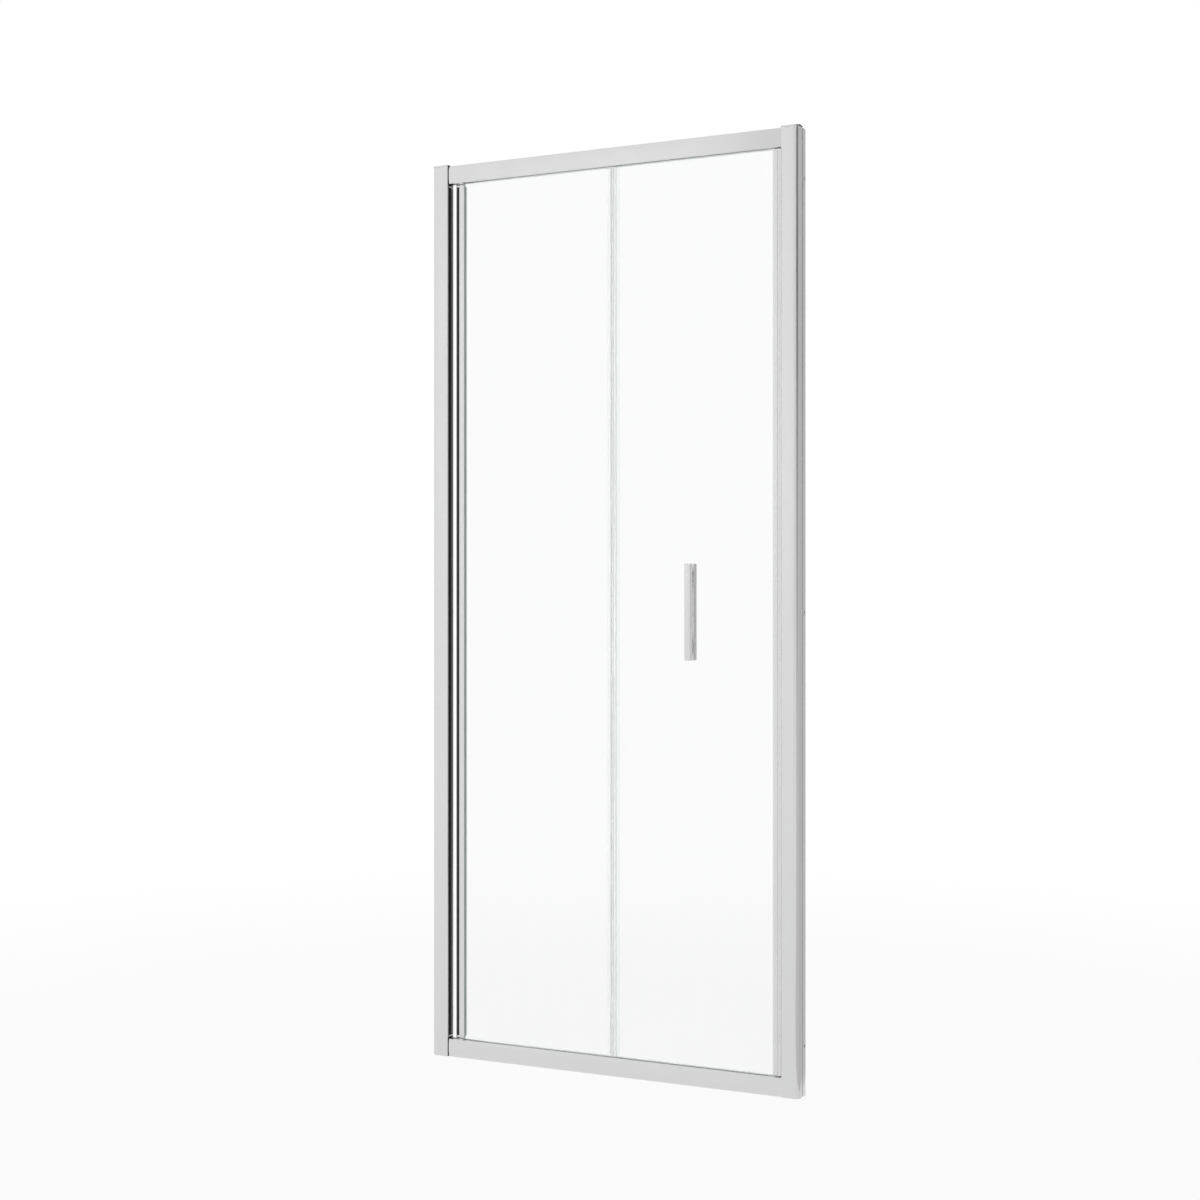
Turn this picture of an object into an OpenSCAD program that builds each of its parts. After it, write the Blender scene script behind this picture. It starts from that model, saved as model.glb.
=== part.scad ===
// Bifold shower door: two clear glass leaves that fold inwards inside a light silver frame.
// Origin: middle of the bottom rail's underside. X runs along the width, -Y is the outer
// face that a person walks up to, +Y is the shower's inside, and Z is up. Millimetres.

/* [Frame] */
// Overall width between the two walls
frame_w = 800; // [700:5:1000]
// Overall height with the jamb caps
frame_h = 1850; // [1700:10:2100]
// Gap between a jamb's outer side and its wall
wall_clearance = 1; // [0.5:0.1:3]
// Setback of the rails' front behind the jambs' front
rail_setback = 2; // [1:0.5:4]

/* [Jambs] */
// Distance from the wall to a jamb's inner face
jamb_w = 37; // [34:1:45]
// Wall thickness of the jamb extrusion
jamb_wall = 1.5; // [1.2:0.1:2]
// Radius of a jamb's outer front corner
jamb_corner_r = 8; // [4:0.5:10]
// Radius of a jamb's inner front edge
jamb_edge_r = 2; // [1:0.5:3]
// How far a jamb's rear tongue stays behind its inner face
tongue_step = 5; // [3:1:8]
// Clearance of the tongue inside the wall channel, on each side
tongue_play = 0.4; // [0.3:0.1:0.8]
// Thickness of a jamb's top cap
cap_t = 3; // [2:0.5:5]
// Overhang of the cap past the jamb's front and inner face
cap_lip = 0.8; // [0.4:0.1:1.5]

/* [Wall channels] */
// Outside depth of the U-shaped wall channel
channel_d = 15; // [13:0.5:20]
// Length of the channel's legs, measured from the wall
channel_leg = 22; // [16:1:26]
// Thickness of the channel
channel_wall = 1.5; // [1.2:0.1:2]
// Diameter of the holes for the wall fixings
wall_hole_d = 5.5; // [4:0.5:7]
// Distance of the end holes from the channel's ends
wall_hole_inset = 95; // [60:5:200]

/* [Rails] */
// Height of both rails
rail_h = 36; // [32:1:50]
// Depth of both rails
rail_d = 19; // [17:1:24]
// Wall thickness of the rail extrusion
rail_wall = 1.5; // [1.2:0.1:2]
// Bulge of the rail's front face
rail_crown = 1.2; // [0.4:0.1:2]
// Width of the track slot
slot_w = 8; // [7:0.5:9]
// Thickness of the lips beside the slot
lip_t = 2; // [1.5:0.5:3]
// Inside height of the track
track_h = 15; // [13:1:18]

/* [Screws] */
// Shank diameter of the rail screws and the clamp screws
screw_d = 4; // [3:0.5:4.5]
// Head diameter of these screws
screw_head_d = 7; // [6:0.5:8]
// Head thickness of these screws
screw_head_t = 2.2; // [1.5:0.1:3]
// Length of a rail screw under its head
rail_screw_len = 24; // [16:1:40]
// Length of a clamp screw under its head
clamp_screw_len = 18; // [16:1:20]
// Width of a clamp block inside the tongue, along the screw
clamp_block_w = 12; // [8:1:14]
// Height of a clamp block
clamp_block_h = 22; // [12:1:40]
// Distance of a clamp block from the tongue's web
clamp_set = 6; // [2:1:7]

/* [Leaves] */
// Thickness of the glass
glass_t = 6; // [5:1:8]
// Gap between the glass and each rail
leaf_gap = 2.5; // [2.5:0.5:5]
// Distance from the left jamb's inner face to the pivot axis
pivot_inset = 27.5; // [26:0.5:36]
// Fold angle of the first leaf at which the door stands fully open
fold_angle = 80; // [60:1:84]

/* [Pivot side] */
// Distance from the pivot stile's left face to the pivot axis
pivot_left = 4; // [4:0.5:8]
// Distance from the pivot axis to the pivot stile's right face
pivot_right = 7.5; // [7:0.5:14]
// Wall of both stiles in front of and behind the glass
stile_wall = 1.3; // [1.1:0.1:2]
// Width of the stile's lip behind the glass
rear_lip = 3; // [2.5:0.5:10]
// Gap between the pivot stile's caps and the rails
pivot_gap = 5; // [4:0.5:8]
// Thickness of the pivot stile's caps
stile_cap_t = 3.5; // [2.5:0.5:5]
// Diameter of the pivot pins and guide pins
pin_d = 5; // [4:0.5:5]
// Length of a pin inside its stile
pin_root = 40; // [20:5:80]
// Diameter of the bush's flange
bush_flange_d = 13; // [10:0.5:14]
// Thickness of the bush's flange
bush_flange_t = 2; // [1:0.25:2]
// Distance from the pivot axis to the pivot block's free end
pivot_block_end = 14; // [8:1:30]
// Diameter of the black bulb seal on the pivot stile
bulb_d = 6; // [5:0.5:8]
// Reach of the bulb seal past the stile
bulb_reach = 8.3; // [7:0.1:10]
// Width of the black strip on the left jamb
jamb_strip_w = 17.5; // [6:0.5:18]
// Thickness of the black strip
jamb_strip_t = 1.2; // [0.8:0.1:2]
// Setback of the black strip behind the jamb's front
jamb_strip_set = 3; // [3:0.5:6]
// Thickness of the clips over the strip's ends
strip_clip_t = 0.8; // [0.6:0.1:1.2]
// Overhang of the clips past the strip's sides
strip_clip_lip = 0.5; // [0:0.1:0.5]

/* [Middle hinge] */
// Width that each clear strip takes on its leaf
strip_w = 12.5; // [10:0.5:16]
// Wall thickness of the clear strips
strip_wall = 1.4; // [1:0.1:2]
// Distance from a strip's front face to the fold axis
hinge_rise = 0.5; // [0.3:0.1:1.5]
// Outside diameter of the knuckles
knuckle_d = 6.6; // [6:0.2:7]
// Diameter of the hinge rod
rod_d = 3; // [2.5:0.1:3.4]
// Number of knuckles, always odd
knuckles = 7; // [3:2:11]
// Gap between neighbouring knuckles
knuckle_gap = 0.6; // [0.4:0.1:1]
// Gap between the knuckles and the other leaf's strip
knuckle_side_gap = 0.5; // [0.4:0.1:1]

/* [Closing side] */
// Width of the closing stile
closing_w = 14; // [14:0.5:20]
// Depth of its glass slot
glass_bite = 6.5; // [4:0.5:6.5]
// Distance from the guide pin's axis to the closing stile's right face
guide_edge = 4; // [3.5:0.1:4]
// Thickness of the magnetic strip on the right jamb
jamb_magnet_t = 2.1; // [1.5:0.1:3]
// Thickness of the closing stile's caps
closing_cap_t = 2.5; // [2:0.5:4]
// Thickness of the magnetic strip on the leaf
leaf_magnet_t = 2.4; // [1.5:0.1:2.6]
// Gap between the two magnetic strips when the door is shut
shut_gap = 0.5; // [0.4:0.1:1]
// Length of the glides to the left of the guide pin
glide_left = 22; // [8:1:40]
// Length of the glides to the right of the guide pin
glide_right = 8; // [4:0.5:8]
// Height of the glides
glide_h = 11; // [8:0.5:12]
// Length of the end stops in the tracks
stop_len = 10; // [6:1:20]

/* [Handle] */
// Distance from the guide pin's axis to the middle of the handle
handle_inset = 181; // [120:1:260]
// Length of the handle bars
handle_len = 189; // [180:1:400]
// Width of the handle bars
handle_w = 12.6; // [11:0.1:20]
// Depth of the outer bar
handle_outer_d = 12.5; // [10:0.5:20]
// Depth of the inner bar
handle_inner_d = 16; // [12:0.5:25]
// Distance between the two fixing screws
handle_pitch = 137; // [96:1:160]
// Height of the pads between bar and glass
handle_pad_h = 23; // [14:1:30]
// Thickness of the pads
handle_pad_t = 1.5; // [0.8:0.1:3]
// Diameter of the holes in the glass
glass_hole_d = 10; // [8:0.5:12]
// Diameter of the handle screws
handle_screw_d = 4; // [3:0.5:5]
// Head thickness of the handle screws
handle_head_t = 2.4; // [1.5:0.1:2.8]
// Depth of the screw heads' pockets in the inner bar
handle_head_depth = 5; // [3:0.5:8]
// Metal left in front of the screw holes in the outer bar
handle_front_t = 2; // [1.5:0.5:4]
// Radius of the handle bars' long edges
handle_edge_r = 1; // [0.5:0.1:2]

/* [Hidden] */
$fn = 48;
// Clearances: running pin, fixed pin, sliding face, bonded face, and cut overshoot
run_fit = 0.06;
set_fit = 0.05;
slide_fit = 0.3;
bond_fit = 0.2;
cut = 1;
// Free length past the tip of a pin or screw in its blind hole
tip_gap = 1;
// Smallest radius that an inner corner is drawn with
least_r = 0.2;
// Side of the small V groove down the closing stile's front
groove = 0.7;

// Depths, measured along Y
front_y = -rail_d / 2 - rail_setback;
box_d = rail_setback + rail_d;
channel_y = front_y + box_d + tongue_play;
tongue_y = channel_y + channel_wall + tongue_play;
tongue_d = channel_d - 2 * channel_wall - 2 * tongue_play;
fixing_y = channel_y + channel_d / 2;
strip_y = front_y + jamb_strip_set;
stile_d = glass_t + 2 * (bond_fit + stile_wall);
fold_offset = glass_t / 2 + bond_fit / 2 + strip_wall + hinge_rise;

// Widths, measured along X
wall_x = -frame_w / 2;
jamb_x = wall_x + jamb_w;
tongue_x = jamb_x - tongue_step;
pivot_x = jamb_x + pivot_inset;
closing_right = -jamb_x - jamb_magnet_t - shut_gap - leaf_magnet_t;
guide_x = closing_right - guide_edge;
fold_x = (pivot_x + guide_x) / 2;
leaf_len = guide_x - fold_x;
stile_left = pivot_x - pivot_left;
stile_right = pivot_x + pivot_right;
bulb_x = stile_left - bulb_reach + bulb_d / 2;
glass_a_left = stile_right + slide_fit;
strip_end = knuckle_d / 2 + knuckle_side_gap;
glass_edge = strip_end + strip_wall + bond_fit;
closing_left = closing_right - closing_w;
glass_b_right = closing_left + glass_bite - bond_fit;

// Heights
jamb_h = frame_h - cap_t;
track_top = jamb_h - rail_h;
mid_z = jamb_h / 2;
rail_l = -2 * jamb_x;
chamber_s = lip_t + track_h;
chamber_h = rail_h - chamber_s - 2 * rail_wall;
port_s = chamber_s + rail_wall + chamber_h / 2;
port_y = rail_d / 2 - jamb_wall - screw_head_d / 2 - slide_fit;
cap_plug = rail_h - port_s - screw_head_d / 2 - tip_gap;
fixing_z = [wall_hole_inset, mid_z, jamb_h - wall_hole_inset];
leaf_low = rail_h + leaf_gap;
leaf_h = track_top - leaf_gap - leaf_low;
pivot_cap_s = pivot_gap + stile_cap_t;
pin_reach = lip_t + glide_h;
handle_x = guide_x - handle_inset;
handle_z = [mid_z - handle_pitch / 2, mid_z + handle_pitch / 2];
knuckle_pitch = leaf_h / knuckles;

// The handle's bars and screws, measured along Y from the middle of the glass
bar_y = glass_t / 2 + handle_pad_t;
outer_y = -bar_y - handle_outer_d;
inner_y = bar_y + handle_inner_d;
head_y = inner_y - handle_head_depth;
handle_head_d = 2 * handle_screw_d;

// The glides stop here when the first leaf has turned through the fold angle
fold_r = sqrt(leaf_len * leaf_len + fold_offset * fold_offset);
fold_start = atan(fold_offset / leaf_len);
guide_open_x = pivot_x + 2 * fold_r * cos(fold_angle - fold_start);
stop_x = guide_open_x - glide_left - slide_fit - stop_len;
bush_d = slot_w - 2 * bond_fit;
collar_d = min(2 * (pivot_left - slide_fit), bush_flange_d);

silver = [0.84, 0.84, 0.84];
shade = [0.70, 0.70, 0.70];
steel = [0.62, 0.63, 0.65];
black = [0.09, 0.09, 0.10];
white = [0.93, 0.93, 0.92];
clear = [0.86, 0.94, 0.91, 0.35];

// ---- helpers ----

// Points of an arc round a centre, from one angle to another
function arc(c, r, a0, a1, n = 8) =
    [for (i = [0:n]) c + r * [cos(a0 + (a1 - a0) * i / n), sin(a0 + (a1 - a0) * i / n)]];

// Box from its lowest corner to its highest corner
module span(low, high) {
    translate(low)
        cube(high - low);
}

// Upright shaft at (x, y) from z0 to z1
module shaft(x, y, z0, z1, d) {
    translate([x, y, z0])
        cylinder(h = z1 - z0, d = d);
}

// The left jamb's pieces, drawn again on the right-hand side
module on_right() {
    mirror([1, 0, 0])
        children();
}

// Track pieces are drawn with z = 0 at the rail's open face and +z into the rail
module at_top() {
    translate([0, 0, track_top])
        children();
}

module at_bottom() {
    translate([0, 0, rail_h])
        mirror([0, 0, 1])
            children();
}

// ---- wall channels and jambs, drawn for the left side ----

module wall_channel() {
    difference() {
        span([wall_x, channel_y, 0], [wall_x + channel_leg, channel_y + channel_d, jamb_h]);
        span([wall_x + channel_wall, channel_y + channel_wall, -cut],
            [wall_x + channel_leg + cut, channel_y + channel_d - channel_wall, jamb_h + cut]);
        for (z = fixing_z)
            translate([wall_x - cut, fixing_y, z])
                rotate([0, 90, 0])
                    cylinder(h = channel_wall + 2 * cut, d = wall_hole_d);
    }
}

// Outline of the jamb's front box, shrunk by t: rounded outer corner, eased inner edge
module box_outline(t) {
    x0 = wall_x + wall_clearance + t;
    x1 = jamb_x - t;
    y0 = front_y + t;
    y1 = front_y + box_d - t;
    r0 = jamb_corner_r - t;
    r1 = max(jamb_edge_r - t, least_r);
    polygon(concat(arc([x0 + r0, y0 + r0], r0, 180, 270),
        arc([x1 - r1, y0 + r1], r1, 270, 360, 4),
        [[x1, y1], [x0, y1]]));
}

// The rear tongue is a channel open to the wall, joined to the box by a neck
module tongue_outline() {
    x0 = wall_x + channel_wall + wall_clearance;
    difference() {
        translate([x0, tongue_y])
            square([tongue_x - x0, tongue_d]);
        translate([x0 - cut, tongue_y + jamb_wall])
            square([tongue_x - x0 - jamb_wall + cut, tongue_d - 2 * jamb_wall]);
    }
    translate([tongue_x - jamb_wall, front_y + box_d - jamb_wall])
        square([jamb_wall, tongue_y - front_y - box_d + 2 * jamb_wall]);
}

// Cylinder along X from x0 to x1
module bar_x(x0, x1, y, z, d) {
    translate([x0, y, z])
        rotate([0, 90, 0])
            cylinder(h = x1 - x0, d = d);
}

module jamb() {
    difference() {
        linear_extrude(height = jamb_h)
            union() {
                difference() {
                    box_outline(0);
                    box_outline(jamb_wall);
                }
                tongue_outline();
            }
        for (z = fixing_z)
            bar_x(tongue_x - jamb_wall - cut, tongue_x + cut, fixing_y, z,
                screw_d + 2 * slide_fit);
        for (y = [-port_y, port_y], z = [rail_h - port_s, track_top + port_s])
            bar_x(jamb_x - jamb_wall - cut, jamb_x + cut, y, z, screw_d + 2 * slide_fit);
    }
}

// Flat plate over the box, with a plug that fits the box's hollow
module jamb_cap() {
    translate([0, 0, jamb_h])
        linear_extrude(height = cap_t)
            polygon(concat(
                arc([wall_x + wall_clearance + jamb_corner_r, front_y - cap_lip + jamb_corner_r],
                    jamb_corner_r, 180, 270),
                arc([jamb_x + cap_lip - jamb_edge_r, front_y - cap_lip + jamb_edge_r],
                    jamb_edge_r, 270, 360, 4),
                [[jamb_x + cap_lip, front_y + box_d],
                    [wall_x + wall_clearance, front_y + box_d]]));
    translate([0, 0, jamb_h - cap_plug])
        linear_extrude(height = cap_plug)
            difference() {
                box_outline(jamb_wall + slide_fit);
                box_outline(2 * jamb_wall + slide_fit);
            }
}

module clamp_screw(z) {
    bar_x(tongue_x, tongue_x + screw_head_t, fixing_y, z, screw_head_d);
    bar_x(tongue_x - clamp_screw_len, tongue_x + set_fit, fixing_y, z, screw_d);
}

module clamp_block_at(z) {
    x1 = tongue_x - jamb_wall - clamp_set;
    half_d = tongue_d / 2 - jamb_wall - slide_fit;
    difference() {
        span([x1 - clamp_block_w, fixing_y - half_d, z - clamp_block_h / 2],
            [x1, fixing_y + half_d, z + clamp_block_h / 2]);
        bar_x(x1 - clamp_block_w - cut, x1 + cut, fixing_y, z, screw_d + 2 * set_fit);
    }
}

// ---- rails ----

// Section of a rail: x runs along the frame's Y, and y goes from the open face into the rail
module rail_section() {
    half = rail_d / 2;
    r = (rail_h * rail_h / 4 + rail_crown * rail_crown) / (2 * rail_crown);
    sweep = asin(rail_h / 2 / r);
    difference() {
        polygon(concat(arc([r - half, rail_h / 2], r, 180 + sweep, 180 - sweep, 12),
            [[half, rail_h], [half, 0]]));
        translate([-half + rail_wall + rail_crown, lip_t])
            square([rail_d - 2 * rail_wall - rail_crown, track_h]);
        translate([-slot_w / 2, -cut])
            square([slot_w, lip_t + 2 * cut]);
        difference() {
            translate([-half + rail_wall + rail_crown, chamber_s + rail_wall])
                square([rail_d - 2 * rail_wall - rail_crown, chamber_h]);
            translate([-half, port_s - rail_wall / 2])
                square([rail_d, rail_wall]);
            for (y = [-port_y, port_y])
                translate([y, port_s])
                    circle(d = screw_d + 2 * rail_wall);
        }
        for (y = [-port_y, port_y])
            translate([y, port_s])
                circle(d = screw_d + 2 * set_fit);
    }
}

module rail() {
    translate([jamb_x, 0, 0])
        rotate([90, 0, 90])
            linear_extrude(height = rail_l)
                rail_section();
}

// Two screws at each end go from inside the jambs into the rail's ports
module end_screws() {
    for (y = [-port_y, port_y]) {
        bar_x(jamb_x - jamb_wall - screw_head_t, jamb_x - jamb_wall, y, port_s, screw_head_d);
        bar_x(jamb_x - jamb_wall - set_fit, jamb_x - jamb_wall + rail_screw_len, y, port_s,
            screw_d);
    }
}

// ---- pivot side ----

module pivot_block() {
    difference() {
        span([jamb_x, -rail_d / 2 + rail_wall + rail_crown + slide_fit, lip_t],
            [pivot_x + pivot_block_end, rail_d / 2 - rail_wall - slide_fit,
                lip_t + track_h - slide_fit]);
        shaft(pivot_x, 0, 0, lip_t + track_h + cut, bush_d + 2 * set_fit);
    }
}

// Flanged bush, its flange against the rail's lips
module pivot_bush() {
    difference() {
        union() {
            shaft(pivot_x, 0, -bush_flange_t, 0, bush_flange_d);
            shaft(pivot_x, 0, -set_fit, pin_reach + tip_gap, bush_d);
        }
        shaft(pivot_x, 0, -bush_flange_t - cut, pin_reach + tip_gap + cut,
            pin_d + 2 * run_fit);
    }
}

module pivot_pin() {
    shaft(pivot_x, 0, -pivot_cap_s - pin_root, pin_reach, pin_d);
    shaft(pivot_x, 0, -pivot_gap, -bush_flange_t - slide_fit, collar_d);
}

module stile_cap() {
    translate([0, 0, -pivot_cap_s])
        difference() {
            union() {
                span([stile_left, -stile_d / 2, 0], [stile_right, stile_d / 2, stile_cap_t]);
                span([bulb_x, -stile_d / 2, 0],
                    [stile_left + cut, -bulb_d / 2 - slide_fit, stile_cap_t]);
            }
            shaft(pivot_x, 0, -cut, stile_cap_t + cut, pin_d + 2 * set_fit);
        }
}

module pivot_stile_body() {
    z0 = rail_h + pivot_cap_s;
    z1 = track_top - pivot_cap_s;
    difference() {
        union() {
            span([stile_left, -stile_d / 2, z0], [stile_right, stile_d / 2, z1]);
            span([stile_right - cut, glass_t / 2 + bond_fit, z0],
                [stile_right + rear_lip, stile_d / 2, z1]);
        }
        shaft(pivot_x, 0, z0 - cut, z0 + pin_root + cut, pin_d + 2 * set_fit);
        shaft(pivot_x, 0, z1 - pin_root - cut, z1 + cut, pin_d + 2 * set_fit);
    }
}

module bulb() {
    translate([0, 0, leaf_low])
        linear_extrude(height = leaf_h)
            union() {
                translate([bulb_x, 0])
                    circle(d = bulb_d);
                translate([bulb_x, -bulb_d / 4])
                    square([stile_left - bulb_x, bulb_d / 2]);
            }
}

// ---- clear middle hinge ----

// Half of the hinge on the leaf at -X, round the fold axis at x = 0, y = 0
module hinge_half(even) {
    slot_half = glass_t / 2 + bond_fit / 2;
    difference() {
        translate([-strip_w, fold_offset - slot_half - strip_wall, 0])
            cube([strip_w - strip_end, 2 * (slot_half + strip_wall), leaf_h]);
        translate([-strip_w - cut, fold_offset - slot_half, -cut])
            cube([strip_w - strip_end - strip_wall + cut, 2 * slot_half, leaf_h + 2 * cut]);
    }
    for (i = [even ? 1 : 0:2:knuckles - 1])
        translate([0, 0, i * knuckle_pitch + knuckle_gap / 2])
            knuckle(knuckle_pitch - knuckle_gap, fold_offset - slot_half - strip_wall);
}

// One tube of the hinge with the web that joins it to its strip
module knuckle(h, strip_face) {
    difference() {
        union() {
            cylinder(h = h, d = knuckle_d);
            translate([-strip_end - strip_wall, strip_face - strip_wall, 0])
                cube([strip_end + strip_wall - rod_d / 2 - least_r, 2 * strip_wall, h]);
        }
        translate([0, 0, -cut])
            cylinder(h = h + 2 * cut, d = rod_d + 2 * run_fit);
    }
}

module at_fold() {
    translate([fold_x, -fold_offset, leaf_low])
        children();
}

// ---- closing side ----

module closing_outline() {
    slot_half = glass_t / 2 + bond_fit;
    difference() {
        translate([closing_left, -stile_d / 2])
            square([closing_w, stile_d]);
        translate([closing_left - cut, -slot_half])
            square([glass_bite + cut, 2 * slot_half]);
        translate([guide_x, 0])
            circle(d = pin_d + 2 * run_fit);
        translate([guide_x - bond_fit, -stile_d / 2])
            rotate([0, 0, 45])
                square(groove, center = true);
    }
}

module closing_cap() {
    translate([0, 0, -leaf_gap - closing_cap_t])
        linear_extrude(height = closing_cap_t)
            closing_outline();
}

module guide_pin() {
    shaft(guide_x, 0, -leaf_gap - closing_cap_t - pin_root, pin_reach, pin_d);
}

module glide() {
    difference() {
        span([guide_x - glide_left, -rail_d / 2 + rail_wall + rail_crown + slide_fit,
                lip_t + slide_fit],
            [guide_x + glide_right, rail_d / 2 - rail_wall - slide_fit,
                lip_t + slide_fit + glide_h]);
        shaft(guide_x, 0, 0, lip_t + track_h + cut, pin_d + 2 * set_fit);
    }
}

module track_stop() {
    span([stop_x, -rail_d / 2 + rail_wall + rail_crown + slide_fit, lip_t],
        [stop_x + stop_len, rail_d / 2 - rail_wall - slide_fit, lip_t + glide_h]);
}

// ---- handle ----

// Upright bar with four eased edges, between two Y values
module grip(y0, y1) {
    x0 = handle_x - handle_w / 2;
    x1 = handle_x + handle_w / 2;
    r = handle_edge_r;
    translate([0, 0, mid_z - handle_len / 2])
        linear_extrude(height = handle_len)
            polygon(concat(arc([x0 + r, y0 + r], r, 180, 270, 4),
                arc([x1 - r, y0 + r], r, 270, 360, 4),
                arc([x1 - r, y1 - r], r, 0, 90, 4),
                arc([x0 + r, y1 - r], r, 90, 180, 4)));
}

// Cylinder along Y from y0 to y1 at each fixing height of the handle
module fixings(y0, y1, d) {
    for (z = handle_z)
        translate([handle_x, y1, z])
            rotate([90, 0, 0])
                cylinder(h = y1 - y0, d = d);
}

// ---- nodes of the fixed frame ----

module wall_channel_left() {
    color(shade) wall_channel();
}

module wall_channel_right() {
    color(shade) on_right() wall_channel();
}

module jamb_left() {
    color(silver) jamb();
}

module jamb_right() {
    color(silver) on_right() jamb();
}

module jamb_cap_left() {
    color(silver) jamb_cap();
}

module jamb_cap_right() {
    color(silver) on_right() jamb_cap();
}

module top_rail() {
    color(silver) at_top() rail();
}

module bottom_rail() {
    color(silver) at_bottom() rail();
}

module rail_screws() {
    color(steel) {
        at_top() end_screws();
        at_bottom() end_screws();
        on_right() at_top() end_screws();
        on_right() at_bottom() end_screws();
    }
}

module clamp_screws() {
    color(steel)
        for (z = fixing_z) {
            clamp_screw(z);
            on_right() clamp_screw(z);
        }
}

module clamp_blocks() {
    color(white)
        for (z = fixing_z) {
            clamp_block_at(z);
            on_right() clamp_block_at(z);
        }
}

// Black strip on the left jamb's inner face, between the rails
module jamb_strip_seal() {
    color(black)
        span([jamb_x, strip_y, rail_h],
            [jamb_x + jamb_strip_t, strip_y + jamb_strip_w, track_top]);
}

// Small clips over the strip's two ends, in line with the stile's caps
module strip_clips() {
    color(shade)
        for (z = [rail_h + pivot_gap, track_top - pivot_cap_s])
            span([jamb_x + jamb_strip_t, strip_y - strip_clip_lip, z],
                [jamb_x + jamb_strip_t + strip_clip_t,
                    strip_y + jamb_strip_w + strip_clip_lip, z + stile_cap_t]);
}

module jamb_magnet() {
    color(white)
        span([-jamb_x - jamb_magnet_t, -stile_d / 2, rail_h], [-jamb_x, stile_d / 2, track_top]);
}

module pivot_block_top() {
    color(white) at_top() pivot_block();
}

module pivot_block_bottom() {
    color(white) at_bottom() pivot_block();
}

module pivot_bush_top() {
    color(white) at_top() pivot_bush();
}

module pivot_bush_bottom() {
    color(white) at_bottom() pivot_bush();
}

module track_stops() {
    color(black) {
        at_top() track_stop();
        at_bottom() track_stop();
    }
}

// ---- nodes of the first leaf ----

module glass_a() {
    color(clear)
        span([glass_a_left, -glass_t / 2, leaf_low],
            [fold_x - glass_edge, glass_t / 2, leaf_low + leaf_h]);
}

module pivot_stile_bar() {
    color(silver) pivot_stile_body();
}

module bulb_seal() {
    color(black) bulb();
}

module stile_cap_top() {
    color(shade) at_top() stile_cap();
}

module stile_cap_bottom() {
    color(shade) at_bottom() stile_cap();
}

module pivot_pin_top() {
    color(steel) at_top() pivot_pin();
}

module pivot_pin_bottom() {
    color(steel) at_bottom() pivot_pin();
}

module hinge_strip_a() {
    color(clear) at_fold() hinge_half(false);
}

module hinge_rod() {
    color(clear)
        shaft(fold_x, -fold_offset, leaf_low, leaf_low + leaf_h, rod_d);
}

// ---- nodes of the second leaf ----

module glass_b() {
    color(clear)
        difference() {
            span([fold_x + glass_edge, -glass_t / 2, leaf_low],
                [glass_b_right, glass_t / 2, leaf_low + leaf_h]);
            fixings(-glass_t, glass_t, glass_hole_d);
        }
}

module hinge_strip_b() {
    color(clear) at_fold() mirror([1, 0, 0]) hinge_half(true);
}

module closing_stile() {
    color(silver)
        translate([0, 0, leaf_low + closing_cap_t])
            linear_extrude(height = leaf_h - 2 * closing_cap_t)
                closing_outline();
}

module closing_cap_top() {
    color(shade) at_top() closing_cap();
}

module closing_cap_bottom() {
    color(shade) at_bottom() closing_cap();
}

module leaf_magnet() {
    color(white)
        span([closing_right, -stile_d / 2, leaf_low],
            [closing_right + leaf_magnet_t, stile_d / 2, leaf_low + leaf_h]);
}

module handle_outer() {
    color(silver)
        difference() {
            grip(outer_y, -bar_y);
            fixings(outer_y + handle_front_t, -bar_y + cut, handle_screw_d + 2 * set_fit);
        }
}

module handle_inner() {
    color(silver)
        difference() {
            grip(bar_y, inner_y);
            fixings(bar_y - cut, inner_y + cut, handle_screw_d + 2 * set_fit);
            fixings(head_y, inner_y + cut, handle_head_d + 2 * slide_fit);
        }
}

module handle_pads() {
    color(white)
        difference() {
            for (y = [-bar_y, glass_t / 2], z = handle_z)
                translate([handle_x - handle_w / 2, y, z - handle_pad_h / 2])
                    cube([handle_w, handle_pad_t, handle_pad_h]);
            fixings(-bar_y - cut, bar_y + cut, handle_screw_d + 2 * set_fit);
        }
}

module handle_sleeves() {
    color(white)
        difference() {
            fixings(-glass_t / 2, glass_t / 2, glass_hole_d - 2 * set_fit);
            fixings(-glass_t, glass_t, handle_screw_d + 2 * set_fit);
        }
}

module handle_screws() {
    color(steel) {
        fixings(outer_y + handle_front_t + tip_gap, head_y + set_fit, handle_screw_d);
        fixings(head_y, head_y + handle_head_t, handle_head_d);
    }
}

// ---- nodes of the two carriages: a glide with its guide pin ----

module guide_pin_top() {
    color(steel) at_top() guide_pin();
}

module guide_pin_bottom() {
    color(steel) at_bottom() guide_pin();
}

module glide_top() {
    color(white) at_top() glide();
}

module glide_bottom() {
    color(white) at_bottom() glide();
}

wall_channel_left();
wall_channel_right();
jamb_left();
jamb_right();
jamb_cap_left();
jamb_cap_right();
top_rail();
bottom_rail();
rail_screws();
clamp_screws();
clamp_blocks();
jamb_strip_seal();
strip_clips();
jamb_magnet();
pivot_block_top();
pivot_block_bottom();
pivot_bush_top();
pivot_bush_bottom();
track_stops();
glass_a();
pivot_stile_bar();
bulb_seal();
stile_cap_top();
stile_cap_bottom();
pivot_pin_top();
pivot_pin_bottom();
hinge_strip_a();
hinge_rod();
glass_b();
hinge_strip_b();
closing_stile();
closing_cap_top();
closing_cap_bottom();
leaf_magnet();
guide_pin_top();
guide_pin_bottom();
handle_outer();
handle_inner();
handle_pads();
handle_sleeves();
handle_screws();
glide_top();
glide_bottom();
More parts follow.
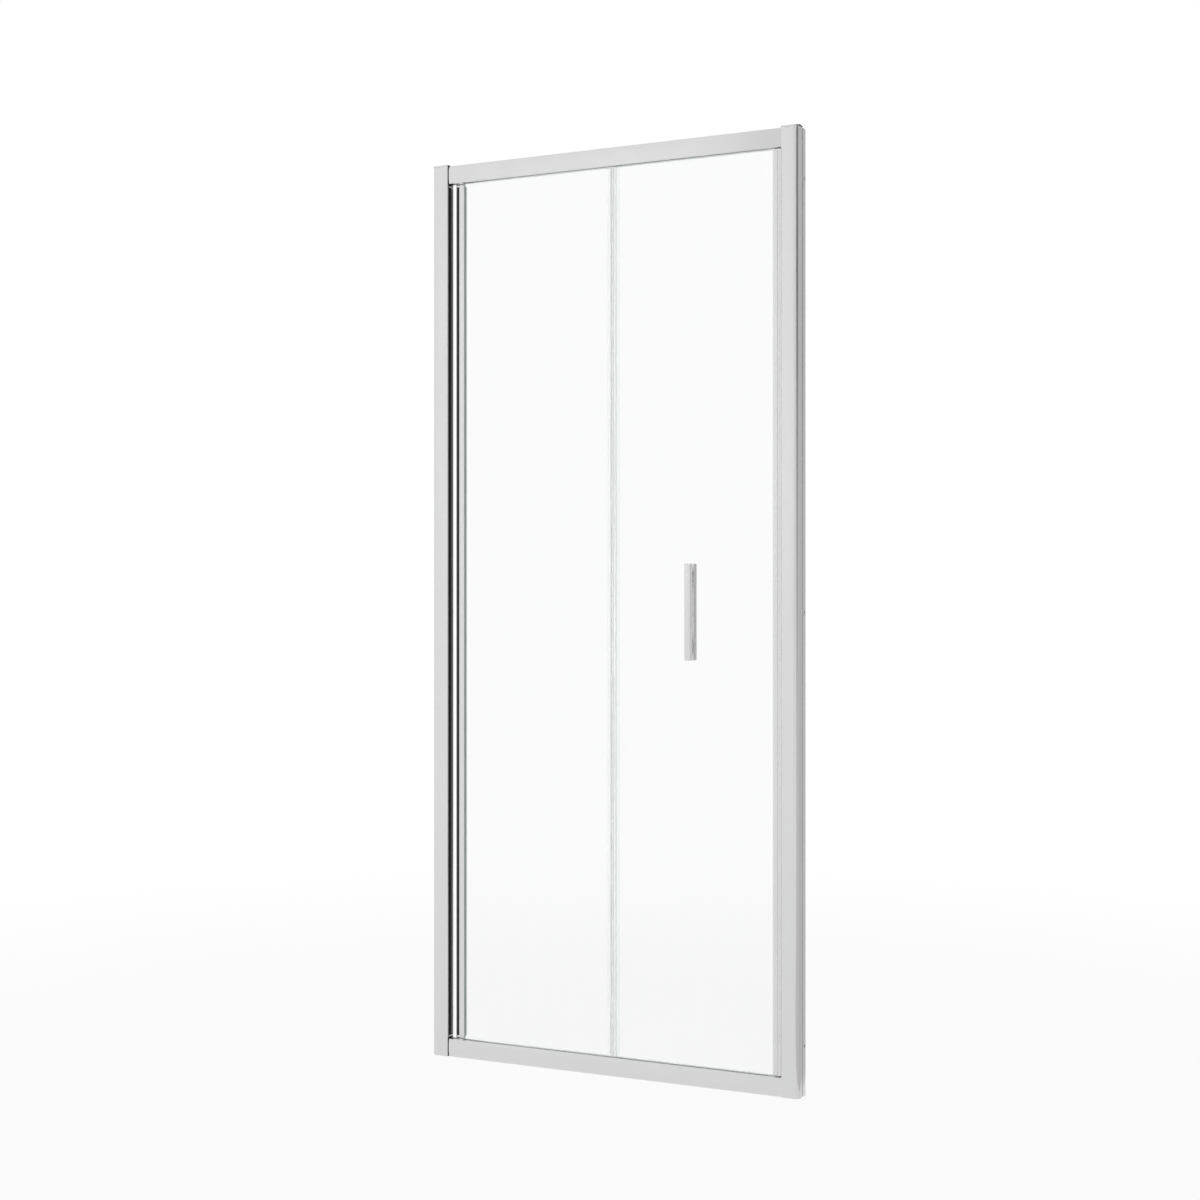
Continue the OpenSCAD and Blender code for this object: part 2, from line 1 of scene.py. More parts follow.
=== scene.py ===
# %% [markdown]
# # Dressing a bifold shower door
#
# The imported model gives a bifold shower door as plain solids: a silver frame that is screwed
# between two walls, and two glass leaves that fold inwards. This notebook dresses it for a
# picture. Most pieces that show are drawn again as finer meshes in the same place, with eased
# edges and real sections, and each finish is a small network of nodes at its real scale. The
# clear hinge in the middle and the pieces that hide in the tracks keep their solids.
#
# Everything is in metres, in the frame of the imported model: X runs along the width, -Y is the
# face that a person walks up to, and Z is up.

# %% Load the frame
import math

import bpy
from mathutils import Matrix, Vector
from mathutils.geometry import tessellate_polygon


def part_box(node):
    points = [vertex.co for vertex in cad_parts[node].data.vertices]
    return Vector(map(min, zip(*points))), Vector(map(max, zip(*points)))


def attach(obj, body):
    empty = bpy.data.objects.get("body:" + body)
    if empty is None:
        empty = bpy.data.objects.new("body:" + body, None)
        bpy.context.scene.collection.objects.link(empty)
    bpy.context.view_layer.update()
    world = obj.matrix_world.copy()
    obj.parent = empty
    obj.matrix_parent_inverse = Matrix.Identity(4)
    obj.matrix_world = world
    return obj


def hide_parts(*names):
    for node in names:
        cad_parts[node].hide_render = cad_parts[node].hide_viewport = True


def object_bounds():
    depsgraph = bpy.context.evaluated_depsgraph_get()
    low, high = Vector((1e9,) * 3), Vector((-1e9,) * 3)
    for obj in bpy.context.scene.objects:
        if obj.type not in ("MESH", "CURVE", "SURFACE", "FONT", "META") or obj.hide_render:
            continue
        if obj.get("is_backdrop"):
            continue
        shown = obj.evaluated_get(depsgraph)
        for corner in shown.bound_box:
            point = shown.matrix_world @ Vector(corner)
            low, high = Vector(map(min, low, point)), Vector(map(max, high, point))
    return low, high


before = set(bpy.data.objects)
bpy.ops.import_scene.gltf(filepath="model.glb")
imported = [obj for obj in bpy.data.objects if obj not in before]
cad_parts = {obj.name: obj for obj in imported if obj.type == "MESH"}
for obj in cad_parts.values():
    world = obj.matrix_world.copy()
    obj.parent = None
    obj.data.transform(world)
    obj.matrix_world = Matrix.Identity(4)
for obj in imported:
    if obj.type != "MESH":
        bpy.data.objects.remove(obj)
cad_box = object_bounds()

mm = 0.001

# %% [markdown]
# ## Shader maths that reads like Python
#
# A finish is a formula: a base colour, plus a little grain, times a soft cloud. Wiring Math
# nodes by hand hides that formula. The small class below wraps a node's output, so that
# `0.3 + 0.1 * grain` adds its two Math nodes by itself, and `1 - mask` adds one. Every other
# node comes from one method, which sets the node's own settings first and its sockets second.

# %% A socket that can be added and multiplied
class Shade:
    """An output socket that takes part in ordinary arithmetic."""

    def __init__(self, finish, plug):
        self.finish = finish
        self.plug = plug

    def math(self, operation, first, second):
        settings = {"operation": operation}
        return self.finish.node("ShaderNodeMath", settings, {0: first, 1: second})

    def __add__(self, other):
        return self.math("ADD", self, other)

    def __sub__(self, other):
        return self.math("SUBTRACT", self, other)

    def __rsub__(self, other):
        return self.math("SUBTRACT", other, self)

    def __mul__(self, other):
        return self.math("MULTIPLY", self, other)

    def __gt__(self, other):
        return self.math("GREATER_THAN", self, other)

    __radd__ = __add__
    __rmul__ = __mul__


# %% A finish under construction
class Finish:
    """A new material or world while its nodes are being added."""

    def __init__(self, name, family=bpy.data.materials):
        self.owner = family.new(name)
        self.owner.use_nodes = True
        self.nodes = self.owner.node_tree.nodes
        self.links = self.owner.node_tree.links
        self.nodes.clear()

    def node(self, kind, settings, sockets, out=0):
        """Any node: its type, its settings, then the values or links of its sockets."""
        made = self.nodes.new(kind)
        for key, value in settings.items():
            setattr(made, key, value)
        for key, value in sockets.items():
            if isinstance(value, Shade):
                self.links.new(value.plug, made.inputs[key])
            else:
                made.inputs[key].default_value = value
        return Shade(self, made.outputs[out]) if made.outputs else None

    def mix(self, factor, colour_a, colour_b):
        """Colour between two colours; a Math node would turn them grey."""
        sockets = {0: factor, 6: (*colour_a, 1), 7: (*colour_b, 1)}
        return self.node("ShaderNodeMix", {"data_type": "RGBA"}, sockets, out=2)

    def grain(self, size, length=None, along="Z", detail=2.0):
        """Noise from 0 to 1 with features of a size, drawn out to a length along an axis."""
        sizes = [size] * 3
        sizes["XYZ".index(along)] = length or size
        place = self.node("ShaderNodeTexCoord", {}, {}, out=3)
        stretch = {0: place, 1: [1 / part for part in sizes]}
        scaled = self.node("ShaderNodeVectorMath", {"operation": "MULTIPLY"}, stretch)
        return self.node("ShaderNodeTexNoise", {},
                         {"Vector": scaled, "Scale": 1.0, "Detail": detail})

    def paint(self, sockets):
        """The shader of most finishes, with these sockets set or linked."""
        return self.node("ShaderNodeBsdfPrincipled", {}, sockets)

    def bump(self, height, depth):
        """Normal for a relief of this depth in metres, where height runs from 0 to 1."""
        return self.node("ShaderNodeBump", {}, {"Height": height, "Distance": depth})

    def glow(self):
        """A shader that gives white light by itself."""
        return self.node("ShaderNodeEmission", {}, {"Color": (1, 1, 1, 1), "Strength": 1.0})

    def surface(self, shader):
        """Ends the network with its output node and gives back the material or world."""
        kind = "World" if isinstance(self.owner, bpy.types.World) else "Material"
        self.node(f"ShaderNodeOutput{kind}", {}, {"Surface": shader})
        return self.owner


print("socket arithmetic is ready")

# %% [markdown]
# ## Satin silver aluminium
#
# The frame is extruded aluminium with a satin silver anodising. Up close it is a very fine
# frosted grain, with faint lines that the die leaves along the bar. Those lines run upwards on
# the jambs and stiles and sideways on the rails, so the finish is a function of the direction.
# The metal mirrors the studio softly, and the clear anodised layer on it scatters some light,
# so three quarters of the finish are metal and the rest is a matt grey. Fully metallic paint
# would lose the soft fall of the light from the top of the door to its foot. The handle is
# more matt than the frame, and only half of its finish is metal.

# %% Satin silver, with the lines of the die along one axis
def satin_silver(name, along, colour, grain_depth=0.004 * mm, metal=0.75):
    finish = Finish(name)
    lines = finish.grain(0.9 * mm, 900 * mm, along, detail=3)
    clouds = finish.grain(70 * mm, 210 * mm)
    frosting = finish.grain(0.35 * mm)
    darker = [0.94 * part for part in colour]
    brighter = [min(1, 1.05 * part) for part in colour]
    shading = 0.55 * lines + 0.45 * clouds
    paint = finish.paint({
        "Base Color": finish.mix(shading, darker, brighter),
        "Metallic": metal,
        "Roughness": 0.14 + 0.05 * clouds + 0.05 * lines,
        "Normal": finish.bump(0.6 * lines + 0.4 * frosting, grain_depth)})
    return finish.surface(paint)


silver_grey = (0.71, 0.71, 0.713)
silver_upright = satin_silver("satin_silver_upright", "Z", silver_grey)
silver_level = satin_silver("satin_silver_level", "X", silver_grey)
silver_handle = satin_silver("satin_silver_handle", "Z", silver_grey, metal=0.5)
print("finishes:", silver_upright.name, silver_level.name, silver_handle.name)

# %% [markdown]
# ## Mill aluminium and stainless steel
#
# The wall channels stay as they leave the press: a little paler than the anodised parts, with
# stronger die lines. The screws and pins are stainless steel. They are turned and polished, so
# the grain is short and their metal share is higher.

# %% Mill aluminium and stainless steel
mill_aluminium = satin_silver("mill_aluminium_upright", "Z", (0.76, 0.76, 0.77), 0.01 * mm)


def stainless_steel():
    finish = Finish("stainless_steel")
    turning = finish.grain(0.5 * mm, 0.12 * mm, detail=3)
    stain = finish.grain(4 * mm)
    paint = finish.paint({
        "Base Color": finish.mix(stain, (0.50, 0.50, 0.49), (0.62, 0.62, 0.62)),
        "Metallic": 0.8,
        "Roughness": 0.22 + 0.16 * turning,
        "Normal": finish.bump(turning, 0.004 * mm)})
    return finish.surface(paint)


stainless = stainless_steel()
print("finishes:", mill_aluminium.name, stainless.name)

# %% [markdown]
# ## Clear glass with a green edge
#
# Toughened float glass is clear through its faces, and its ground edge looks grey green,
# because light reaches the eye there only after a long way through the iron in the glass. A
# real volume colour would need thick clean solids and many samples. Two finishes on one mesh
# do the same: a clear one on the faces and a frosted green one on the ground edges. Lamps
# would cast a black shadow behind refracting glass, so rays towards a lamp pass straight
# through, and a few per cent are lost, as through a real pane. The ground edge bends light
# only a little, because a strongly bent ray would be caught in the pane and turn black.

# %% Clear glass, and its ground edge
def see_through(finish, solid, tint):
    """Lets rays towards lamps pass straight through, with a tint."""
    to_lamp = finish.node("ShaderNodeLightPath", {}, {}, out=1)
    clear = finish.node("ShaderNodeBsdfTransparent", {}, {"Color": (*tint, 1)})
    return finish.node("ShaderNodeMixShader", {}, {0: to_lamp, 1: solid, 2: clear})


def clear_glass():
    finish = Finish("clear_glass")
    wipe = finish.grain(30 * mm, 140 * mm, detail=3)
    paint = finish.paint({
        "Base Color": finish.mix(wipe, (0.950, 0.957, 0.954), (0.962, 0.968, 0.965)),
        "Roughness": 0.012 * wipe,
        "IOR": 1.5,
        "Transmission Weight": 1.0})
    return finish.surface(see_through(finish, paint, (0.93, 0.95, 0.94)))


def ground_edge():
    finish = Finish("ground_glass_edge")
    ground = finish.grain(0.25 * mm, detail=3)
    band = finish.grain(20 * mm, 45 * mm)
    paint = finish.paint({
        "Base Color": finish.mix(band, (0.84, 0.92, 0.885), (0.91, 0.965, 0.945)),
        "Roughness": 0.35 + 0.2 * ground,
        "IOR": 1.08,
        "Transmission Weight": 0.6,
        "Normal": finish.bump(ground, 0.02 * mm)})
    return finish.surface(paint)


glass_face = clear_glass()
glass_edge = ground_edge()
print("finishes:", glass_face.name, glass_edge.name)

# %% [markdown]
# ## Clear plastic of the middle hinge
#
# The strips of the middle hinge are extruded from clear plastic. It is softer and a little
# cloudier than glass, with flow lines along the extrusion, so the seam between the leaves
# reads as a few pale grey lines. Knuckles and webs lie behind one another there, and full
# refraction through all of them would turn the seam black. So the plastic bends only about
# a third of the light and lets the rest go straight on.

# %% Clear plastic
def clear_plastic():
    finish = Finish("clear_plastic")
    flow = finish.grain(0.8 * mm, 300 * mm, detail=3)
    paint = finish.paint({
        "Base Color": finish.mix(flow, (0.955, 0.962, 0.958), (0.985, 0.988, 0.986)),
        "Roughness": 0.03 + 0.05 * flow,
        "IOR": 1.45,
        "Transmission Weight": 0.97,
        "Normal": finish.bump(flow, 0.003 * mm)})
    thin = finish.node("ShaderNodeBsdfTransparent", {}, {"Color": (0.985, 0.99, 0.988, 1)})
    bending = 0.35
    skin = finish.node("ShaderNodeMixShader", {}, {0: bending, 1: thin, 2: paint})
    return finish.surface(see_through(finish, skin, (0.92, 0.93, 0.925)))


plastic_clear = clear_plastic()
print("finish:", plastic_clear.name)

# %% [markdown]
# ## Seals, magnets and the small moulded parts
#
# These are matt materials that differ in colour, in grain and in how much they shine: black
# rubber with a skin like fine leather, whose black is also painted shade on the rails' end pads
# and the caps' sides, the dark grey of the strip's carrier, which is painted shade, white
# magnetic strip, white moulded nylon, the dark plastic of the end stops, the grey green bond
# between glass and stile, darkened in part as painted shade, and the white on the handle's
# inner faces, which is painted light. One function with the grain's size and depth makes all.

# %% Moulded and extruded plastics
def moulded(name, colour_a, colour_b, size, depth, roughness, mirror=0.5):
    finish = Finish(name)
    skin = finish.grain(*size, detail=3)
    handling = finish.grain(25 * mm, 60 * mm)
    paint = finish.paint({
        "Base Color": finish.mix(0.4 * skin + 0.6 * handling, colour_a, colour_b),
        "Roughness": roughness + 0.12 * handling,
        "Specular IOR Level": mirror,
        "Normal": finish.bump(skin, depth)})
    return finish.surface(paint)


even = (0.4 * mm, 0.4 * mm)
drawn = (0.5 * mm, 40 * mm)
black_rubber = moulded("black_rubber", (0.012, 0.012, 0.013), (0.028, 0.028, 0.03),
                       drawn, 0.03 * mm, 0.42)
# Black of the jamb's rubber strip, also used as painted shade on the rails' end pads and the
# caps' sides.
strip_black_and_painted_shade = moulded("black_strip_rubber_and_painted_shade", (0.008, 0.008, 0.009), (0.016, 0.016, 0.017),
                      drawn, 0.03 * mm, 0.55, mirror=0.08)
# Dark grey of the strip's carrier: painted shade on the jamb's inner side.
painted_shade_grey = moulded("dark_grey_painted_shade", (0.13, 0.13, 0.132), (0.17, 0.17, 0.172),
                       drawn, 0.02 * mm, 0.45, mirror=0.2)
magnet_white = moulded("white_magnet", (0.74, 0.74, 0.73), (0.82, 0.82, 0.81),
                       drawn, 0.015 * mm, 0.40)
nylon_white = moulded("white_nylon", (0.80, 0.80, 0.78), (0.87, 0.87, 0.85),
                      even, 0.015 * mm, 0.38)
stop_black = moulded("black_stop", (0.02, 0.02, 0.021), (0.04, 0.04, 0.042),
                     even, 0.03 * mm, 0.5)
# Grey green of the bond; its darkness is in part painted shade, for the shadow at the stile's
# edge.
bond_grey_and_painted_shade = moulded("glass_bond_and_painted_shade", (0.38, 0.45, 0.425), (0.46, 0.52, 0.50),
                    even, 0.01 * mm, 0.5)
# White on the handle faces that look at the glass: painted light in the shaded gap between the
# bars.
painted_light_white = moulded("white_painted_light", (0.87, 0.87, 0.87), (0.95, 0.95, 0.95),
                       even, 0.01 * mm, 0.4)
print("finishes:", len(bpy.data.materials))

# %% [markdown]
# ## Hand every solid its finish
#
# Every solid takes the finish of its slot in the record. The small solids that stay keep their
# mesh, and later three modifiers soften them: Weld joins the corners that the import split,
# Bevel rounds the sharp edges by a few tenths of a millimetre, and Weighted Normal keeps the
# flats even.

# %% Finishes by slot, and soft edges on the solids that stay
slot_finish = {
    "satin_silver": silver_upright, "mill_aluminium": mill_aluminium,
    "clear_glass": glass_face, "clear_plastic": plastic_clear,
    "black_rubber": black_rubber, "white_magnet": magnet_white,
    "white_nylon": nylon_white, "black_stop": stop_black, "stainless": stainless}


def soften(solid, width):
    """Rounds the solid's sharp edges without touching its own mesh."""
    weld = solid.modifiers.new("weld", "WELD")
    weld.merge_threshold = 0.001 * mm
    bevel = solid.modifiers.new("eased edges", "BEVEL")
    bevel.width = width
    bevel.segments = 2
    bevel.limit_method = "ANGLE"
    bevel.angle_limit = math.radians(40)
    bevel.harden_normals = True
    solid.modifiers.new("even shading", "WEIGHTED_NORMAL").keep_sharp = True


for name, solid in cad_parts.items():
    for place, given in enumerate(solid.data.materials):
        solid.data.materials[place] = slot_finish[given.name]
print("solids with a finish:", len(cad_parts))

# %% [markdown]
# ## Drawing extrusions
#
# Most of this door is extruded: a section is pushed through a die and sawn to length. So the
# helpers below do the same. `rounded` turns a few corners, each with its own radius, into an
# outline, and `arc` draws its round stretches. `extrusion` sweeps an outline with its holes
# along an axis, and eases both sawn ends by a small quarter round, which is what makes an edge
# catch light. A Bevel modifier could do the ends too, but it stumbles over thin walls, where
# the rings below stay exact.

# %% Outlines with rounded corners
def arc(x, y, radius, start, turn, steps):
    """Points round (x, y), from a start angle through a turn."""
    angles = [start + turn * k / steps for k in range(steps + 1)]
    return [Vector((x + radius * math.cos(a), y + radius * math.sin(a))) for a in angles]


def rounded(corners, steps=5):
    """Outline from corners (x, y, radius), each rounded by an arc of its radius."""
    points = []
    for i, (x, y, radius) in enumerate(corners):
        here = Vector((x, y))
        if radius == 0:
            points.append(here)
            continue
        back = (Vector(corners[i - 1][:2]) - here).normalized()
        on = (Vector(corners[(i + 1) % len(corners)][:2]) - here).normalized()
        half = back.angle(on) / 2
        centre = here + (back + on).normalized() * radius / math.sin(half)
        first = here + back * radius / math.tan(half) - centre
        last = here + on * radius / math.tan(half) - centre
        start = math.atan2(first.y, first.x)
        turn = math.atan2(last.y, last.x) - start
        turn = (turn + math.pi) % (2 * math.pi) - math.pi
        points += arc(*centre, radius, start, turn, steps)
    return points


def rectangle(x0, y0, x1, y1, radius, steps=5):
    corners = [(x0, y0), (x1, y0), (x1, y1), (x0, y1)]
    return rounded([(x, y, radius) for x, y in corners], steps)


def circle(x, y, radius, count=32):
    return arc(x, y, radius, 0, 2 * math.pi, count)[:-1]


def area(points):
    pairs = zip(points, points[1:] + points[:1])
    return sum(a.x * b.y - b.x * a.y for a, b in pairs) / 2


def inset(points, distance):
    """The outline moved to its left by a distance, with mitred corners."""
    moved = []
    for i, here in enumerate(points):
        a = (here - points[i - 1]).normalized()
        b = (points[(i + 1) % len(points)] - here).normalized()
        left_a, left_b = Vector((-a.y, a.x)), Vector((-b.y, b.x))
        moved.append(here + (left_a + left_b) * distance / (1 + left_a.dot(left_b)))
    return moved


print("a 10 by 4 mm plate measures", round(area(rectangle(0, 0, 10, 4, 0)), 1), "square mm")

# %% A piece from vertices and faces, and a sweep of an outline
AXES = {"X": (1, 2, 0), "Y": (2, 0, 1), "Z": (0, 1, 2)}
crease = math.radians(35)


def smooth(mesh):
    """Smooth shading that stops at creases."""
    mesh.shade_smooth()
    mesh.set_sharp_from_angle(angle=crease)


def piece(name, points, faces):
    """A new object from a mesh with smooth shading."""
    mesh = bpy.data.meshes.new(name)
    mesh.from_pydata(points, [], faces)
    smooth(mesh)
    made = bpy.data.objects.new(name, mesh)
    bpy.context.scene.collection.objects.link(made)
    return made


def laid(u, v, height, along, base=(0, 0, 0)):
    """A place from a base: u and v in the two axes after `along`, and a height along it."""
    place = list(base)
    for axis, part in zip(AXES[along], (u, v, height)):
        place[axis] += part
    return place


def sweep(outer, holes, low, high, along, ease, steps):
    """Points and faces of a bar along an axis, with both ends eased by a quarter round."""
    loops = [outer if area(outer) > 0 else outer[::-1]]
    loops += [hole if area(hole) < 0 else hole[::-1] for hole in holes]
    rings = []
    for k in range(steps + 1):
        angle = math.pi / 2 * k / steps
        rings.append((ease * (1 - math.sin(angle)), ease * (1 - math.cos(angle))))
    levels = [(shrink, low + rise) for shrink, rise in rings]
    levels += [(shrink, high - rise) for shrink, rise in reversed(rings)]
    if ease == 0:
        levels = [(0, low), (0, high)]
    count = sum(len(loop) for loop in loops)
    points = [laid(u, v, level, along)
              for shrink, level in levels for loop in loops for u, v in inset(loop, shrink)]
    faces = []
    start = 0
    for loop in loops:
        for i in range(len(loop)):
            a, b = start + i, start + (i + 1) % len(loop)
            for ring in range(len(levels) - 1):
                low_ring, high_ring = ring * count, (ring + 1) * count
                faces.append((a + low_ring, b + low_ring, b + high_ring, a + high_ring))
        start += len(loop)
    flat = [point for loop in loops for point in inset(loop, levels[0][0])]
    outlines = [[point.to_3d() for point in inset(loop, levels[0][0])] for loop in loops]
    for a, b, c in tessellate_polygon(outlines):
        if area([flat[a], flat[b], flat[c]]) < 0:
            b, c = c, b
        faces.append((c, b, a))
        top = (len(levels) - 1) * count
        faces.append((a + top, b + top, c + top))
    return points, faces


def extrusion(name, outer, holes, low, high, along="Z", ease=0.25 * mm, steps=3):
    points, faces = sweep(outer, holes, low, high, along, ease, steps)
    return piece(name, points, faces)


def put_together(name, parts):
    """One object from several closed shells, each given as points and faces."""
    points, faces = [], []
    for part_points, part_faces in parts:
        shift = len(points)
        points += part_points
        faces += [tuple(shift + corner for corner in face) for face in part_faces]
    return piece(name, points, faces)


print("extrusions can be drawn along", " ".join(AXES))

# %% [markdown]
# ## Turned pieces and drilled holes
#
# Screws and sleeves are round. `turned` spins a list of rings round an axis. A ring's radius
# may also be a function of the angle, and that is how a hexagon socket or a cross recess goes
# into a screw head without cutting anything. Holes across an extrusion are drilled with a
# Boolean modifier whose result is kept.

# %% Turned pieces, with round, hexagonal or crossed rings
def hexagon(across):
    """Radius by angle of a hexagon this wide across its flats."""
    def radius(angle):
        return across / 2 / math.cos((angle % (math.pi / 3)) - math.pi / 6)
    return radius


def cross(length, width):
    """Radius by angle of a cross recess with arms of this length and width."""
    def radius(angle):
        turn = (angle + math.pi / 4) % (math.pi / 2) - math.pi / 4
        side = width / 2 / max(abs(math.sin(turn)), 1e-6)
        return min(length / 2 / math.cos(turn), side)
    return radius


def turned(rings, centre, along, count=48, ends=True):
    """Points and faces of a round part: rings of (height, radius) round an axis."""
    points, faces = [], []
    for height, radius in rings:
        for k in range(count):
            angle = 2 * math.pi * k / count
            reach = radius(angle) if callable(radius) else radius
            u, v = reach * math.cos(angle), reach * math.sin(angle)
            points.append(laid(u, v, height, along, centre))
    last = len(rings) - 1 if ends else len(rings)
    for ring in range(last):
        a0, b0 = ring * count, (ring + 1) % len(rings) * count
        for k in range(count):
            k1 = (k + 1) % count
            faces.append((a0 + k, a0 + k1, b0 + k1, b0 + k))
    if ends:
        faces.append(tuple(range(count))[::-1])
        faces.append(tuple((len(rings) - 1) * count + k for k in range(count)))
    return points, faces


def drill(made, cutters):
    """Cuts the cutters out of a piece and keeps the result as its mesh."""
    tool = put_together("drill", cutters)
    hole = made.modifiers.new("hole", "BOOLEAN")
    hole.operation, hole.solver, hole.object = "DIFFERENCE", "EXACT", tool
    graph = bpy.context.evaluated_depsgraph_get()
    made.data = bpy.data.meshes.new_from_object(made.evaluated_get(graph))
    made.modifiers.clear()
    bpy.data.objects.remove(tool)
    smooth(made.data)


def bore(low, high, centre, along, radius):
    """A plain round cutter from low to high along an axis."""
    return turned([(low, radius), (high, radius)], centre, along)


def fit(made, body, finish, slot, *nodes):
    """Gives a piece its finish and its body, and hides the solids that it stands for."""
    made.data.materials.clear()
    made.data.materials.append(finish)
    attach(made, body)
    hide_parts(*nodes)
    print(made.name, "replaces", ", ".join(nodes) or "nothing", len(made.data.polygons))


print("turned pieces can have round, hexagonal or crossed rings")

# %% [markdown]
# ## Where things are
#
# No place is typed in twice. The solids say where each piece is, and only what a box can't
# say, such as a wall thickness or a corner radius, is written down as a real size.

# %% Places from the solids, and the sizes that boxes don't tell
jamb_low, jamb_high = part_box("jamb_left")
rail_low, rail_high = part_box("top_rail")
sill_low, sill_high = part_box("bottom_rail")
channel_low, channel_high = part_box("wall_channel_left")
front_y, rear_y = jamb_low.y, rail_high.y
inner_x = rail_low.x
wall = 1.5 * mm
corner_reach, corner_depth, jamb_edge = 13 * mm, 8 * mm, 0.8 * mm
tongue_step, tongue_play = 5 * mm, 0.4 * mm
tongue_x = inner_x - tongue_step
tongue_low = channel_low.y + wall + tongue_play
lip = 2 * mm
track_height = 15 * mm
slot_half = 4 * mm
rail_crown = 1.2 * mm
print(f"clear opening between the jambs: {-2 * inner_x:.3f} m")

# %% [markdown]
# ## Jambs
#
# A jamb is one extrusion: a hollow box with a big round on its outer front corner, and behind
# it a tongue that slides in the wall channel to take up a crooked wall. The round is flatter
# towards the front than towards the side, so it is a quarter of an ellipse and not an arc:
# that is what lets the light fall off slowly across the front and then drop to a dark line.
# A shallow rebate along the rear outer corner leaves a shadow line before the wall channel.
# The right jamb is the left one mirrored, so only the section's X changes sign.

# %% Jambs
sides = {"left": 1, "right": -1}


def facing(points, sign):
    """The left-hand outline, or its mirror image for the right-hand side."""
    return [Vector((sign * x, y)) for x, y in points]


def soft_corner(x, y, reach, depth, steps=14):
    """Quarter of an ellipse in place of the outer front corner (x, y)."""
    turns = [math.pi / 2 * k / steps for k in range(steps + 1)]
    return [(x + reach * (1 - math.cos(a)), y + depth * (1 - math.sin(a)), 0)
            for a in turns]


def within_jamb(gap, radius):
    """Outline that follows the jamb's outer faces, this far inside them."""
    corner = soft_corner(jamb_low.x + gap, front_y + gap, corner_reach - gap,
                         corner_depth - gap)
    return rounded(corner + [
        (inner_x - gap, front_y + gap, radius), (inner_x - gap, rear_y - gap, radius),
        (jamb_low.x + gap, rear_y - gap, radius)])


fine = 0.3 * mm
rear_round, rebate_round = 0.5 * mm, 0.4 * mm
rebate_width, rebate_depth = 2.7 * mm, 1.1 * mm
rebate_x, rebate_y = jamb_low.x + rebate_depth, rear_y - rebate_width
tongue_wall_x = jamb_low.x + wall
jamb_section = rounded(soft_corner(jamb_low.x, front_y, corner_reach, corner_depth) + [
    (inner_x, front_y, jamb_edge),
    (inner_x, rear_y, rear_round), (tongue_x, rear_y, 0), (tongue_x, jamb_high.y, fine),
    (tongue_wall_x, jamb_high.y, fine), (tongue_wall_x, jamb_high.y - wall, fine),
    (tongue_x - wall, jamb_high.y - wall, fine), (tongue_x - wall, tongue_low + wall, fine),
    (tongue_wall_x, tongue_low + wall, fine), (tongue_wall_x, tongue_low, fine),
    (tongue_x - wall, tongue_low, 0), (tongue_x - wall, rear_y, 0),
    (rebate_x, rear_y, 0), (rebate_x, rebate_y, 0), (jamb_low.x, rebate_y, rebate_round)], 8)

for side, sign in sides.items():
    jamb = extrusion(f"{side}_jamb_profile", facing(jamb_section, sign),
                     [facing(within_jamb(wall, fine), sign)],
                     jamb_low.z, jamb_high.z, ease=fine)
    fit(jamb, "frame", silver_upright, "satin_silver", f"jamb_{side}")

# %% [markdown]
# ## Jamb caps
#
# Each jamb is closed on top by a flat cap that stands proud at the front and at the inner
# side. Its plug holds it in the hollow. The eased edge of the plate gives the fine seam that
# shows just below the top of each jamb. The cap's face is silver, and its two sides are painted
# black as painted shade, a short dark line on each side.

# %% Jamb caps
cap_low, cap_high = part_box("jamb_cap_left")
cap_plate_low = jamb_high.z
cap_round, cap_rear_round = 0.6 * mm, 1 * mm
cap_section = rounded(soft_corner(cap_low.x, cap_low.y, corner_reach, corner_depth) + [
    (cap_high.x, cap_low.y, jamb_edge),
    (cap_high.x, cap_high.y, cap_round), (cap_low.x, cap_high.y, cap_rear_round)], 8)
plug_gap, plug_round = wall + 0.3 * mm, 0.2 * mm

for side, sign in sides.items():
    plate = sweep(facing(cap_section, sign), [], cap_plate_low, cap_high.z, "Z",
                  cap_round, 4)
    plug_outer, plug_inner = (facing(within_jamb(gap, plug_round), sign)
                              for gap in (plug_gap, plug_gap + wall))
    plug = sweep(plug_outer, [plug_inner], cap_low.z, cap_plate_low, "Z", 0.1 * mm, 1)
    cap = put_together(f"{side}_jamb_cap", [plate, plug])
    fit(cap, "frame", silver_upright, "satin_silver", f"jamb_cap_{side}")
    # The black on the cap's two sides is painted shade.
    cap.data.materials.append(strip_black_and_painted_shade)
    for face in cap.data.polygons:
        if face.center.z > cap_plate_low and abs(face.normal.x) > 0.6:
            face.material_index = 1

# %% [markdown]
# ## Wall channels
#
# The wall channels are U sections that are screwed to the walls. Their three holes show as
# small dark spots on the door's side, so they are really drilled through. The outer front
# edge is rounder than the others. It shows past the jamb's rebate, where it mirrors a dark
# line that parts channel and jamb.

# %% Wall channels with their drilled holes
hole_radius = 2.75 * mm
screw_low, screw_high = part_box("clamp_screws")
head_radius = 3.5 * mm
hole_heights = (screw_low.z + head_radius, (screw_low.z + screw_high.z) / 2,
                screw_high.z - head_radius)
hole_y = (channel_low.y + channel_high.y) / 2
front_round, inner_round, back_round = 1.4 * mm, 1 * mm, 0.9 * mm
channel_section = rounded([
    (channel_low.x, channel_low.y, front_round), (channel_high.x, channel_low.y, fine),
    (channel_high.x, channel_low.y + wall, fine),
    (channel_low.x + wall, channel_low.y + wall, inner_round),
    (channel_low.x + wall, channel_high.y - wall, fine),
    (channel_high.x, channel_high.y - wall, fine), (channel_high.x, channel_high.y, fine),
    (channel_low.x, channel_high.y, back_round)])

for side, sign in sides.items():
    channel = extrusion(f"{side}_wall_channel_profile", facing(channel_section, sign), [],
                        channel_low.z, channel_high.z, ease=0.2 * mm, steps=2)
    web_x = sign * channel_low.x
    drill(channel, [bore(-2 * wall, 2 * wall, (web_x, hole_y, z), "X", hole_radius)
                    for z in hole_heights])
    fit(channel, "frame", mill_aluminium, "mill_aluminium", f"wall_channel_{side}")
